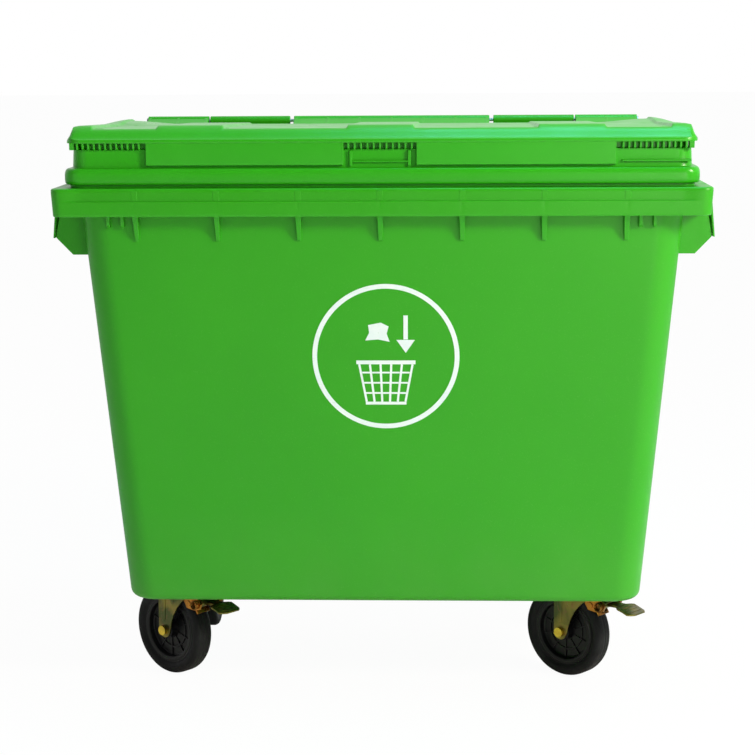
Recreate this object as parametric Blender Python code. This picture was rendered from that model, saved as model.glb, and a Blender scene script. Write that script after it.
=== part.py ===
"""Four-wheeled 660-litre litter bin: moulded tub and hinged flat lid on four swivel casters.

Metres, +Z up. The origin is on the ground under the middle, +X is to the right and the
bin's front, with the two braked casters, faces -Y.
"""

import math

import bmesh
import bpy
from mathutils import Matrix

# ---- driving dimensions: overall ----
WIDTH = 1.370  # over the side lifting guards
DEPTH = 0.770  # front of the rim to the back of the hinge barrels
RIM_TOP = 1.082
WHEEL_R = 0.100
WALL = 0.005
FIT = 0.0003  # gap between touching pieces
CUT = 0.010  # how far a cutter runs past the face it enters
LAP = 0.002  # how far a joined shape reaches into its neighbour

# ---- tub ----
BODY_BOTTOM = 2 * WHEEL_R + 0.0045  # underside, just above the swivelling tyres
RIM_HEIGHT = 0.057
RIM_TAPER = 0.004
RIM_CORNER_R = 0.022
SIDE_OVERHANG = 0.053  # rim beyond the tub's sides
FRONT_OVERHANG = 0.030
REAR_OVERHANG = 0.037
SIDE_LEAN = math.radians(5.2)
FRONT_LEAN = math.radians(3.0)
REAR_LEAN = math.radians(3.0)
CORNER_R = 0.060
BOTTOM_R = 0.016
RIM_BOTTOM = RIM_TOP - RIM_HEIGHT
FRONT = -DEPTH / 2

# ---- gussets under the rim's front ----
GUSSET_COUNT = 7
GUSSET_DROP = 0.046
GUSSET_THICK = 0.006
GUSSET_SKIRT = 0.004  # foot of the gusset's outer edge above the rim's lower edge
GUSSET_KNEE = (0.012, 0.010)  # out from the wall, below the rim

# ---- side lifting guards and trunnions ----
GUARD_PROUD = 0.015  # beyond the rim
GUARD_SETBACK = 0.115  # front of a guard behind the rim's front
GUARD_LENGTH = 0.400
GUARD_DROP = 0.139  # web bottoms below the rim's top
GUARD_FLAP_RISE = 0.036  # foot of the outer wall above the web bottoms
GUARD_FLAP_TOP = 0.018  # head of the outer wall above the rim's lower edge
GUARD_CHAMFER = 0.040
WEB_THICK = 0.005
TRUNNION_R = 0.020
TRUNNION_FLANGE_R = 0.033
TRUNNION_FLANGE = 0.004
TRUNNION_DROP = 0.097  # centre below the rim's top
TRUNNION_END_GAP = 0.001
TRUNNION_BAY = 0.045  # half the space between the webs beside a trunnion
GUARD_HALF = WIDTH / 2
RIM_HALF = GUARD_HALF - GUARD_PROUD
GUSSET_PITCH = 0.2473 * RIM_HALF
GUARD_FRONT = FRONT + GUARD_SETBACK
GUARD_REAR = GUARD_FRONT + GUARD_LENGTH
TRUNNION_Y = (GUARD_FRONT + GUARD_REAR) / 2
FLAP_BOTTOM = RIM_TOP - GUARD_DROP + GUARD_FLAP_RISE

# ---- hinge ----
HINGE_R = 0.011
HINGE_RISE = 0.110  # hinge line above the rim's top
HINGE_SETBACK = 0.029  # rim's rear skirt in front of the hinge line
ROD_R = 0.004
ROD_HEAD_R = 0.007
ROD_HEAD = 0.003
ARM_THICK = 0.012
ARM_ROOT = 0.020  # arm's root inside the lid's rear wall
ARM_BELOW = 0.010  # arm's root below and above the lip's lower edge
ARM_ABOVE = 0.004
SLOT = 0.0095  # see-through slot beside the lid's middle barrel
NOTCH = 0.003
HINGE_Y = DEPTH / 2 - HINGE_R
HINGE_Z = RIM_TOP + HINGE_RISE
RIM_REAR = HINGE_Y - HINGE_SETBACK
MIDDLE_KNUCKLE = 0.345 * RIM_HALF  # half length of the lid's middle barrel
BODY_KNUCKLE = (MIDDLE_KNUCKLE + SLOT, 0.642 * RIM_HALF)
OUTER_KNUCKLE = (BODY_KNUCKLE[1] + NOTCH, 0.863 * RIM_HALF)
ROD_INNER = MIDDLE_KNUCKLE - 0.045

# ---- push handles on the rear ----
HANDLE_X = 0.597 * RIM_HALF
HANDLE_LENGTH = 0.170
HANDLE_R = 0.012
HANDLE_Y = RIM_REAR + 0.015
HANDLE_DROP = 0.100  # grip centre below the rim's top
HANDLE_ROOT = 0.014  # half height of an arm at the tub
HANDLE_TIP = 0.009

# ---- lid ----
LID_HALF = RIM_HALF - 0.025
LID_FRONT = FRONT + 0.019
LID_REAR = RIM_REAR - 0.014
LID_CORNER_R = 0.035
LID_LEAST_R = 0.010
BEAD_HEIGHT = 0.039
BEAD_ROUND = 0.006
LID_WALL_INSET = 0.0135
LIP_INSET = 0.006
LIP_Z = 0.090  # lip's lower edge above the rim's top
LIP_HEIGHT = 0.007
PLATEAU_Z = 0.118
RIDGE_HEIGHT = 0.007
RIDGE_FOOT = 0.006
RIDGE_REAR = 0.0035  # a ridge's height at its rear end
LID_FALL = 0.0115  # drop of the lid's top from front to rear
DOME_HEIGHT = 0.010
DOME_LENGTH = 0.260
DOME_STEPS = 6
DOME_EDGE = 0.0005
LID_SLOPE_FRONT = 0.034
LID_SLOPE_SIDE = 0.014
LID_SLOPE_REAR = 0.075
MIDDLE_RIDGE = 0.065  # half widths of the front-to-back ridges
OUTER_RIDGE = 0.0195
PANEL_MARGIN = 0.015  # level strip between a ridge and a domed panel
RIDGE_X = (0.0, 0.601 * LID_HALF, LID_HALF - LID_SLOPE_SIDE - OUTER_RIDGE - 0.001)
RIDGE_HALF = (MIDDLE_RIDGE, MIDDLE_RIDGE, OUTER_RIDGE)
BOX_INNER = MIDDLE_RIDGE + 0.0085  # the two boxed stretches of the lid's front wall
BOX_OUTER = RIDGE_X[1] + MIDDLE_RIDGE + 0.022
BOX_FRONT = LID_FRONT + LIP_INSET + 0.0005
LID_BASE = RIM_TOP + FIT
TOP_FRONT = LID_FRONT + LID_SLOPE_FRONT
TOP_REAR = LID_REAR - LID_SLOPE_REAR

# ---- casters ----
CASTER_HEIGHT = 2 * WHEEL_R + 0.045
WHEEL_WIDTH = 0.046
HUB_R = WHEEL_R - 0.0245
HUB_RIM = 0.0135
HUB_WEB = 0.006  # half thickness of the hub's web
BOSS_R = 0.019
BOSS_GAP = 0.001
TYRE_SEAT = 0.018  # half width of the tyre where it sits on the hub
TYRE_SHOULDER = 0.012
TYRE_ROUND = 0.010
TYRE_CHAMFER = 0.0035
WHEEL_SIDES = 24
TRAIL = 0.045
PLATE_HALF = (0.0675, 0.055)
PLATE_CORNER_R = 0.008
PLATE_THICK = 0.004
BOLT_HALF = (0.0525, 0.040)
BOLT_R = 0.005
BOLT_HEAD_R = 0.0098
BOLT_HEAD = 0.0064
BOLT_LENGTH = 0.022
RACE_R = 0.034
RACE_HEIGHT = 0.009
KINGPIN_R = 0.006
KINGPIN_HEAD_R = 0.012
KINGPIN_HEAD = 0.006
CROWN_R = 0.038
CROWN_THICK = 0.005
LEG_THICK = 0.004
LEG_GAP = WHEEL_WIDTH / 2 + 0.0035  # half the space between the legs
LEG_END_R = 0.017
LEG_THROAT = ((0.018, -0.018), (0.050, -0.013))  # lower edge: x, height from the pedal axis
LEG_HEAD = (-0.062, 0.056)  # rear and front of a leg below the crown
LEG_HEAD_SLANT = 0.010
LEG_HEAD_DROP = 0.026
EAR_R = 0.013  # round the pedal's pin
AXLE_R = 0.006
AXLE_HEAD_R = 0.0105
AXLE_HEAD = 0.0075
NUT_HEIGHT = 0.010
AXLE_END = 0.003  # thread beyond the nut
POCKET_HALF = (0.080, 0.072)
POCKET_CORNER_R = 0.020
PAD_THICK = 0.022
FRONT_HEADING = -39.5  # degrees, direction that a caster leads in
REAR_HEADING = -90.0
CASTER_SIDE = 0.1085  # swivel axes in from the tub's lower edges
CASTER_FRONT = 0.1365
CASTER_REAR = 0.084
PAD_Z = CASTER_HEIGHT + FIT
AXLE_Z = WHEEL_R
LEG_OUT = LEG_GAP + LEG_THICK
RACE_BOTTOM = CASTER_HEIGHT - PLATE_THICK - RACE_HEIGHT
CROWN_TOP = RACE_BOTTOM - 2 * FIT

# ---- brake, in the caster's frame: +X leads, Z up from the ground ----
PEDAL_AXIS = (0.060, 2 * WHEEL_R - 0.024)
SHOE_AXIS = (0.040, 2 * WHEEL_R + 0.0035)
PEDAL_PIN_R = 0.004
SHOE_PIN_R = 0.003
PEDAL_BARREL_R = 0.008
BARREL_HALF = LEG_GAP - 0.0065
PEDAL_REACH = (0.040, 0.0965)  # tread plate's near and far ends from the pedal's axis
PEDAL_FALL = 0.006  # plate's top at its far end below the axis
PEDAL_PLATE_THICK = 0.003
PEDAL_ARM_HALF = 0.014
PEDAL_ARM_TOP = 0.004
PEDAL_ARM_THICK = 0.005
PEDAL_PLATE = (-0.034, 0.026)  # sideways extent of the tread plate
PIN_PROUD = 0.002
SHOE_BARREL_R = 0.007
SHOE_GAP = 0.004
SHOE_THICK = 0.0045
SHOE_HALF = 0.018
SHOE_ARM = (0.005, 0.002)  # half width and half rise of the arm at the barrel
SHOE_ARC = (28, 34, 40, 46)  # degrees round the wheel above its leading side

# ---- drain ----
DRAIN_Y = 0.020
DRAIN_R = 0.025
DRAIN_FLANGE_R = 0.034
DRAIN_FLANGE = 0.006
DRAIN_RISE = 0.006  # plug above the tub's floor
SEAL_THICK = 0.003
SEAL_R = 0.031

for old in list(bpy.data.objects):
    bpy.data.objects.remove(old, do_unlink=True)


# ---- shapes ----
def circle(radius, sides, turn=0.5):
    """Points of a regular polygon; its flats lie at the radius."""
    corner = radius / math.cos(math.pi / sides)
    angles = [2 * math.pi * (i + turn) / sides for i in range(sides)]
    return [(corner * math.cos(a), corner * math.sin(a)) for a in angles]


def rounded_rect(x0, x1, y0, y1, radius, z, steps=4):
    """A level loop, anticlockwise from above, with round corners."""
    corners = ((x1, y0, -90), (x1, y1, 0), (x0, y1, 90), (x0, y0, 180))
    loop = []
    for x, y, start in corners:
        cx = x - math.copysign(radius, x - (x0 + x1) / 2)
        cy = y - math.copysign(radius, y - (y0 + y1) / 2)
        for i in range(steps + 1):
            a = math.radians(start + 90 * i / steps)
            loop.append((cx + radius * math.cos(a), cy + radius * math.sin(a), z))
    return loop


def loft(loops):
    """A closed solid through loops of equal count, flat at both ends."""
    bm = bmesh.new()
    rows = [[bm.verts.new(point) for point in loop] for loop in loops]
    for low, high in zip(rows, rows[1:]):
        for i in range(len(low)):
            j = (i + 1) % len(low)
            bm.faces.new((low[i], low[j], high[j], high[i]))
    bm.faces.new(rows[0][::-1])
    bm.faces.new(rows[-1])
    bmesh.ops.recalc_face_normals(bm, faces=bm.faces)
    return bm


def along(axis, points, position):
    """Lays flat points in the plane across an axis: x across Y,Z; y across X,Z; z across X,Y."""
    if axis == "x":
        return [(position, a, b) for a, b in points]
    if axis == "y":
        return [(a, position, b) for a, b in points]
    return [(a, b, position) for a, b in points]


def prism(axis, points, start, end):
    return loft([along(axis, points, start), along(axis, points, end)])


def box(x0, x1, y0, y1, z0, z1):
    return prism("z", [(x0, y0), (x1, y0), (x1, y1), (x0, y1)], z0, z1)


def stepped(axis, centre, steps, sides=12, turn=0.5):
    """A pin along an axis: steps are (position, radius) from one end to the other."""
    loops = []
    for position, radius in steps:
        ring = [(a + centre[0], b + centre[1]) for a, b in circle(radius, sides, turn)]
        loops.append(along(axis, ring, position))
    return loft(loops)


def turned(profile, sides, centre):
    """A ring turned about the Y axis through a centre: profile is a closed (radius, y) outline."""
    bm = bmesh.new()
    columns = []
    for i in range(sides):
        a = 2 * math.pi * (i + 0.5) / sides
        x, z = math.cos(a) / math.cos(math.pi / sides), math.sin(a) / math.cos(math.pi / sides)
        column = [(centre[0] + r * x, y, centre[1] + r * z) for r, y in profile]
        columns.append([bm.verts.new(point) for point in column])
    for i in range(sides):
        here, after = columns[i], columns[(i + 1) % sides]
        for j in range(len(profile)):
            k = (j + 1) % len(profile)
            bm.faces.new((here[j], here[k], after[k], after[j]))
    bmesh.ops.recalc_face_normals(bm, faces=bm.faces)
    return bm


# ---- objects ----
def material(name, colour, roughness, metallic=0.0):
    made = bpy.data.materials.new(name)
    made.use_nodes = True
    shader = made.node_tree.nodes["Principled BSDF"]
    shader.inputs["Base Color"].default_value = (*colour, 1.0)
    shader.inputs["Roughness"].default_value = roughness
    shader.inputs["Metallic"].default_value = metallic
    return made


GREEN_TUB = material("hdpe_green_tub", (0.055, 0.36, 0.030), 0.38)
GREEN_LID = material("hdpe_green_lid", (0.060, 0.40, 0.045), 0.35)
ZINC_YELLOW = material("yellow_zinc_steel", (0.55, 0.42, 0.20), 0.35, 1.0)
ZINC_BRIGHT = material("bright_zinc_steel", (0.62, 0.62, 0.60), 0.30, 1.0)
BLACK_HUB = material("black_polypropylene", (0.012, 0.012, 0.013), 0.45)
RUBBER = material("black_rubber", (0.018, 0.018, 0.020), 0.70)
SEAL_RUBBER = material("seal_rubber", (0.030, 0.030, 0.032), 0.80)


def piece(name, bm, finish, origin=(0, 0, 0), parent=None):
    """A named solid whose origin is at the given point of its parent's frame."""
    bm.transform(Matrix.Translation(origin).inverted())
    mesh = bpy.data.meshes.new(name)
    bm.to_mesh(mesh)
    bm.free()
    mesh.shade_smooth()
    mesh.set_sharp_from_angle(angle=math.radians(32))
    if finish:
        mesh.materials.append(finish)
    made = bpy.data.objects.new(name, mesh)
    made.location = origin
    made.parent = parent
    bpy.context.collection.objects.link(made)
    return made


def helper(bm, parent=None):
    made = piece("shape_helper", bm, None, parent=parent)
    made.hide_render = True
    made.display_type = "WIRE"
    return made


def combine(target, operation, *shapes, parent=None):
    """Adds or cuts each shape, given as a mesh or as a helper object."""
    for shape in shapes:
        other = shape if isinstance(shape, bpy.types.Object) else helper(shape, parent)
        modifier = target.modifiers.new(operation.lower(), "BOOLEAN")
        modifier.operation = operation
        modifier.object = other
        modifier.solver = "EXACT"


def axis_empty(name, location, parent=None, heading=0.0):
    made = bpy.data.objects.new(name, None)
    made.location = location
    made.rotation_euler = (0, 0, math.radians(heading))
    made.parent = parent
    bpy.context.collection.objects.link(made)
    return made


# ---- tub ----
def side_x(z):
    """Outer half width of the tub's wall at a height."""
    return RIM_HALF - SIDE_OVERHANG - (RIM_BOTTOM - z) * math.tan(SIDE_LEAN)


def front_y(z):
    return FRONT + FRONT_OVERHANG + (RIM_BOTTOM - z) * math.tan(FRONT_LEAN)


def rear_y(z):
    return RIM_REAR - REAR_OVERHANG - (RIM_BOTTOM - z) * math.tan(REAR_LEAN)


def tub_loop(z, inset, radius):
    half = side_x(z) - inset
    return rounded_rect(-half, half, front_y(z) + inset, rear_y(z) - inset, radius, z)


def tub_form(inset, bottom, top, fillet):
    """The tub's tapered form, rounded along its bottom edge."""
    loops = []
    for i in range(4):
        a = math.radians(30 * i)
        z = bottom + fillet * (1 - math.cos(a))
        draw_in = fillet * (1 - math.sin(a))
        loops.append(tub_loop(z, inset + draw_in, CORNER_R - inset - draw_in))
    loops.append(tub_loop(top, inset, CORNER_R - inset))
    return loft(loops)


def rim_form(inset, bottom, top):
    loops = []
    for z in (bottom, top):
        half = RIM_HALF - inset - RIM_TAPER * (RIM_TOP - z) / RIM_HEIGHT
        front = FRONT + inset
        loops.append(rounded_rect(-half, half, front, RIM_REAR - inset, RIM_CORNER_R - inset, z))
    return loft(loops)


def gusset(x):
    """A web under the front of the rim that runs out to a point on the wall."""
    point_z = RIM_BOTTOM - GUSSET_DROP
    skirt = FRONT + WALL / 2
    out, down = GUSSET_KNEE
    outline = [
        (front_y(RIM_TOP) + WALL / 2, RIM_TOP - WALL / 2),
        (skirt, RIM_TOP - WALL / 2),
        (skirt, RIM_BOTTOM + GUSSET_SKIRT),
        (front_y(RIM_BOTTOM) - out, RIM_BOTTOM - down),
        (front_y(point_z) + WALL / 2, point_z),
    ]
    return prism("x", outline, x - GUSSET_THICK / 2, x + GUSSET_THICK / 2)


def guard_web(side, y):
    bottom = RIM_TOP - GUARD_DROP
    inner = side_x(bottom) - WALL / 2
    skirt = RIM_HALF - WALL
    outline = [
        (side * inner, RIM_TOP - WALL / 2),
        (side * skirt, RIM_TOP - WALL / 2),
        (side * skirt, RIM_BOTTOM),
        (side * (flap_inner_x(FLAP_BOTTOM) + LAP), FLAP_BOTTOM),
        (side * (GUARD_HALF - GUARD_CHAMFER), bottom),
        (side * inner, bottom),
    ]
    return prism("y", outline, y - WEB_THICK / 2, y + WEB_THICK / 2)


def flap_inner_x(z):
    """Inner face of the lifting guard's outer wall at a height."""
    share = (RIM_BOTTOM - z) / (RIM_BOTTOM - FLAP_BOTTOM)
    return RIM_HALF - WALL + share * GUARD_PROUD


def guard_flap(side):
    """The outer wall of a lifting guard: it leans out from the rim's skirt."""
    top = RIM_BOTTOM + GUARD_FLAP_TOP
    skirt = side * (RIM_HALF - WALL)
    outline = [
        (skirt, top),
        (side * RIM_HALF, top),
        (side * GUARD_HALF, FLAP_BOTTOM),
        (side * flap_inner_x(FLAP_BOTTOM), FLAP_BOTTOM),
        (skirt, RIM_BOTTOM),
    ]
    half = WEB_THICK / 2
    return prism("y", outline, GUARD_FRONT - half, GUARD_REAR + half)


def handle(x):
    """A moulded push handle: a round grip on two arms behind the tub."""
    z = RIM_TOP - HANDLE_DROP
    half = HANDLE_LENGTH / 2
    grip = stepped("x", (HANDLE_Y, z), [(x - half, HANDLE_R), (x + half, HANDLE_R)])
    root = rear_y(z) - WALL / 2
    outline = [(root, z - HANDLE_ROOT), (HANDLE_Y, z - HANDLE_TIP)]
    outline += [(HANDLE_Y, z + HANDLE_TIP), (root, z + HANDLE_ROOT)]
    arms = []
    for end in (-1, 1):
        middle = x + end * (half - HANDLE_R)
        arms.append(prism("x", outline, middle - HANDLE_R, middle + HANDLE_R))
    return [grip, *arms]


def hinge_bracket(side):
    """A post on the rear of the rim that carries the tub's own hinge barrel."""
    low, high = sorted((side * BODY_KNUCKLE[0], side * BODY_KNUCKLE[1]))
    post = box(low, high, RIM_REAR - WALL / 2, HINGE_Y - 2 * ROD_R, RIM_BOTTOM + WALL, HINGE_Z)
    barrel = stepped("x", (HINGE_Y, HINGE_Z), [(low, HINGE_R), (high, HINGE_R)])
    return [post, barrel]


def caster_places():
    """Each caster's name, place, heading and whether it has a brake."""
    x = side_x(BODY_BOTTOM) - CASTER_SIDE
    front, rear = front_y(BODY_BOTTOM) + CASTER_FRONT, rear_y(BODY_BOTTOM) - CASTER_REAR
    return [
        ("front_left", -x, front, FRONT_HEADING, True),
        ("front_right", x, front, FRONT_HEADING, True),
        ("rear_left", -x, rear, REAR_HEADING, False),
        ("rear_right", x, rear, REAR_HEADING, False),
    ]


def caster_pocket(x, y, grow, bottom, top):
    across, deep = POCKET_HALF[0] + grow, POCKET_HALF[1] + grow
    radius = POCKET_CORNER_R + grow
    loops = []
    for z in (bottom, top):
        loops.append(rounded_rect(x - across, x + across, y - deep, y + deep, radius, z, 2))
    return loft(loops)


def bolt_places(x, y):
    return [(x + i * BOLT_HALF[0], y + j * BOLT_HALF[1]) for i in (-1, 1) for j in (-1, 1)]


tub = piece("tub", tub_form(0, BODY_BOTTOM, RIM_TOP, BOTTOM_R), GREEN_TUB)
rim = helper(rim_form(0, RIM_BOTTOM, RIM_TOP))
combine(rim, "DIFFERENCE", rim_form(WALL, RIM_BOTTOM - CUT, RIM_TOP - WALL))
combine(tub, "UNION", rim)
for number in range(GUSSET_COUNT):
    combine(tub, "UNION", gusset(GUSSET_PITCH * (number - (GUSSET_COUNT - 1) / 2)))
web_ys = (GUARD_FRONT, TRUNNION_Y - TRUNNION_BAY, TRUNNION_Y + TRUNNION_BAY, GUARD_REAR)
for side in (-1, 1):
    combine(tub, "UNION", *[guard_web(side, y) for y in web_ys], guard_flap(side))
    combine(tub, "UNION", *handle(side * HANDLE_X), *hinge_bracket(side))
    low, high = sorted((side * (BODY_KNUCKLE[0] - CUT), side * (BODY_KNUCKLE[1] + CUT)))
    rod_hole = [(low, ROD_R + FIT), (high, ROD_R + FIT)]
    combine(tub, "DIFFERENCE", stepped("x", (HINGE_Y, HINGE_Z), rod_hole))
cavity = helper(tub_form(WALL, BODY_BOTTOM + WALL, RIM_TOP + CUT, BOTTOM_R - WALL))
for name, x, y, heading, braked in caster_places():
    bump = caster_pocket(x, y, WALL, BODY_BOTTOM, PAD_Z + PAD_THICK)
    combine(cavity, "DIFFERENCE", bump)
combine(tub, "DIFFERENCE", cavity)
for name, x, y, heading, braked in caster_places():
    combine(tub, "DIFFERENCE", caster_pocket(x, y, 0, BODY_BOTTOM - CUT, PAD_Z))
    for bolt_x, bolt_y in bolt_places(x, y):
        top = CASTER_HEIGHT - PLATE_THICK + BOLT_LENGTH + 2 * FIT
        hole = [(PAD_Z - CUT, BOLT_R + FIT), (top, BOLT_R + FIT)]
        combine(tub, "DIFFERENCE", stepped("z", (bolt_x, bolt_y), hole, 6))
drain_hole = [(BODY_BOTTOM - CUT, DRAIN_R + FIT), (BODY_BOTTOM + WALL + CUT, DRAIN_R + FIT)]
combine(tub, "DIFFERENCE", stepped("z", (0, DRAIN_Y), drain_hole, 16))


# ---- lid ----
def lid_loop(inset, height, side_inset=None, rear_inset=None):
    side_inset = inset if side_inset is None else side_inset
    rear_inset = inset if rear_inset is None else rear_inset
    half = LID_HALF - side_inset
    radius = max(LID_CORNER_R - side_inset, LID_LEAST_R)
    rear = LID_REAR - rear_inset
    return rounded_rect(-half, half, LID_FRONT + inset, rear, radius, LID_BASE + height, 3)


def fall(y):
    """How far the lid's top has dropped at a place between its front and its rear."""
    return LID_FALL * (y - TOP_FRONT) / (TOP_REAR - TOP_FRONT)


def top_loop(height, side_inset):
    """The outline of the lid's top, which falls towards the rear."""
    loop = lid_loop(LID_SLOPE_FRONT, height, side_inset, LID_SLOPE_REAR)
    return [(x, y, z - fall(y)) for x, y, z in loop]


def lid_form():
    """The lid's outer form: bead, upright wall, lip, sloped shoulders and falling top."""
    lip = LIP_Z + LIP_HEIGHT
    wall = LID_WALL_INSET
    return loft([
        lid_loop(BEAD_ROUND, 0),
        lid_loop(0, BEAD_ROUND),
        lid_loop(0, BEAD_HEIGHT - BEAD_ROUND),
        lid_loop(BEAD_ROUND, BEAD_HEIGHT),
        lid_loop(wall, BEAD_HEIGHT),
        lid_loop(wall, LIP_Z),
        lid_loop(LIP_INSET, LIP_Z, rear_inset=wall),
        lid_loop(LIP_INSET, lip, rear_inset=wall),
        lid_loop(LIP_INSET + LAP, lip, rear_inset=wall + LAP),
        top_loop(PLATEAU_Z, LID_SLOPE_SIDE),
    ])


def bar_form(centre, half):
    """A raised front-to-back ridge on the lid's top with slanted sides and ends."""
    top = LID_BASE + PLATEAU_Z
    loops = []
    for inset, front_rise, rear_rise in ((0, -LAP, -LAP), (RIDGE_FOOT, RIDGE_HEIGHT, RIDGE_REAR)):
        x0, x1 = centre - half + inset, centre + half - inset
        y0, y1 = TOP_FRONT + LAP / 2 + inset, TOP_REAR - LAP / 2 - inset
        z0, z1 = top - fall(y0) + front_rise, top - fall(y1) + rear_rise
        loops.append([(x0, y0, z0), (x1, y0, z0), (x1, y1, z1), (x0, y1, z1)])
    return loft(loops)


def dome_form(low, high):
    """The low dome on an outer panel, towards the rear."""
    centre, half = (low + high) / 2, (high - low) / 2
    front = TOP_REAR - CUT - DOME_LENGTH
    loops = []
    for i in range(DOME_STEPS + 1):
        y = front + DOME_LENGTH * i / DOME_STEPS
        base = LID_BASE + PLATEAU_Z - fall(y)
        rise = DOME_HEIGHT * math.sin(math.pi * i / DOME_STEPS)
        loop = [(low, y, base - LAP), (high, y, base - LAP)]
        for u in (1, 0.5, 0, -0.5, -1):
            loop.append((centre + half * u, y, base + DOME_EDGE + rise * (1 - u * u)))
        loops.append(loop)
    return loft(loops)


def lid_knuckle(low, high):
    """A barrel on the hinge line and the arm that joins it to the lid's rear wall."""
    barrel = stepped("x", (HINGE_Y, HINGE_Z), [(low, HINGE_R), (high, HINGE_R)])
    root = LID_REAR - LID_WALL_INSET - ARM_ROOT
    foot = LID_BASE + LIP_Z
    outline = [(root, foot - ARM_BELOW), (HINGE_Y, HINGE_Z - ARM_THICK / 2)]
    outline += [(HINGE_Y, HINGE_Z + ARM_THICK / 2), (root, foot + ARM_ABOVE)]
    return [barrel, prism("x", outline, low, high)]


lid = piece("lid", lid_form(), GREEN_LID, (0, HINGE_Y, HINGE_Z))
box_top = LID_BASE + LIP_Z + LAP
box_base = LID_BASE + BEAD_HEIGHT - LAP
box_rear = LID_FRONT + LID_WALL_INSET + LAP
for side in (-1, 1):
    low, high = sorted((side * BOX_INNER, side * BOX_OUTER))
    combine(lid, "UNION", box(low, high, BOX_FRONT, box_rear, box_base, box_top))
for ridge_x, ridge_half in zip(RIDGE_X, RIDGE_HALF):
    for centre in sorted({-ridge_x, ridge_x}):
        combine(lid, "UNION", bar_form(centre, ridge_half))
low = RIDGE_X[1] + RIDGE_HALF[1] + PANEL_MARGIN
high = RIDGE_X[2] - RIDGE_HALF[2] - PANEL_MARGIN
combine(lid, "UNION", dome_form(low, high), dome_form(-high, -low))
combine(lid, "UNION", *lid_knuckle(-MIDDLE_KNUCKLE, MIDDLE_KNUCKLE))
combine(lid, "UNION", *lid_knuckle(-OUTER_KNUCKLE[1], -OUTER_KNUCKLE[0]))
combine(lid, "UNION", *lid_knuckle(*OUTER_KNUCKLE))
hollow = LID_WALL_INSET + WALL
combine(lid, "DIFFERENCE", loft([
    lid_loop(hollow, -CUT),
    lid_loop(hollow, LIP_Z - WALL),
    top_loop(PLATEAU_Z - WALL, hollow + LAP),
]))
for side in (-1, 1):
    low, high = sorted((side * (ROD_INNER - FIT), side * (OUTER_KNUCKLE[1] + CUT)))
    rod_hole = [(low, ROD_R + FIT), (high, ROD_R + FIT)]
    combine(lid, "DIFFERENCE", stepped("x", (HINGE_Y, HINGE_Z), rod_hole))

# ---- hinge rods, trunnions and drain ----
for side, word in ((-1, "left"), (1, "right")):
    head = OUTER_KNUCKLE[1] + FIT
    steps = [(ROD_INNER, ROD_R), (head, ROD_R), (head, ROD_HEAD_R), (head + ROD_HEAD, ROD_HEAD_R)]
    steps = [(side * x, radius) for x, radius in steps]
    rod = stepped("x", (HINGE_Y, HINGE_Z), steps)
    piece(f"hinge_rod_{word}", rod, ZINC_BRIGHT, (0, HINGE_Y, HINGE_Z))

    z = RIM_TOP - TRUNNION_DROP
    loops = []
    for reach, radius in ((0, TRUNNION_FLANGE_R), (TRUNNION_FLANGE, TRUNNION_FLANGE_R),
                          (TRUNNION_FLANGE, TRUNNION_R), (None, TRUNNION_R)):
        ring = []
        for a, b in circle(radius, 16):
            on_wall = side_x(z + b) + 2 * FIT
            x = flap_inner_x(z + b) - TRUNNION_END_GAP if reach is None else on_wall + reach
            ring.append((side * x, TRUNNION_Y + a, z + b))
        loops.append(ring)
    piece(f"trunnion_{word}", loft(loops), ZINC_BRIGHT, (side * side_x(z), TRUNNION_Y, z))

seal_top = BODY_BOTTOM - FIT
flange_top = seal_top - SEAL_THICK - FIT
plug = stepped("z", (0, DRAIN_Y), [(flange_top - DRAIN_FLANGE, DRAIN_FLANGE_R),
                                   (flange_top, DRAIN_FLANGE_R), (flange_top, DRAIN_R - FIT),
                                   (BODY_BOTTOM + WALL + DRAIN_RISE, DRAIN_R - FIT)], 16)
piece("drain_plug", plug, BLACK_HUB, (0, DRAIN_Y, flange_top))
seal = piece("drain_seal", stepped("z", (0, DRAIN_Y), [(seal_top - SEAL_THICK, SEAL_R),
                                                       (seal_top, SEAL_R)], 16),
             SEAL_RUBBER, (0, DRAIN_Y, seal_top))
seal_hole = [(seal_top - SEAL_THICK - CUT, DRAIN_R), (seal_top + CUT, DRAIN_R)]
combine(seal, "DIFFERENCE", stepped("z", (0, DRAIN_Y), seal_hole, 16))


# ---- casters: built in a frame on the swivel axis, +X leading and the wheel trailing ----
def leg_outline():
    """One fork leg in the wheel's plane, from the axle end up to the crown."""
    outline = []
    for i in range(7):
        a = math.radians(180 + 25 * i)
        outline.append((-TRAIL + LEG_END_R * math.cos(a), AXLE_Z + LEG_END_R * math.sin(a)))
    for x, rise in LEG_THROAT:
        outline.append((x, PEDAL_AXIS[1] + rise))
    for i in range(5):
        a = math.radians(-60 + 37.5 * i)
        outline.append((PEDAL_AXIS[0] + EAR_R * math.cos(a), PEDAL_AXIS[1] + EAR_R * math.sin(a)))
    outline += [(LEG_HEAD[1], CROWN_TOP - LEG_HEAD_DROP), (LEG_HEAD[1] - LEG_HEAD_SLANT, CROWN_TOP)]
    outline += [(LEG_HEAD[0] + LEG_HEAD_SLANT, CROWN_TOP), (LEG_HEAD[0], PEDAL_AXIS[1] + EAR_R)]
    return outline


def drilled(target, parent, reach, *holes):
    """Cross holes through a caster piece; each is ((x, z), radius)."""
    for centre, radius in holes:
        steps = [(-reach, radius + FIT), (reach, radius + FIT)]
        combine(target, "DIFFERENCE", stepped("y", centre, steps, 12), parent=parent)


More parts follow.
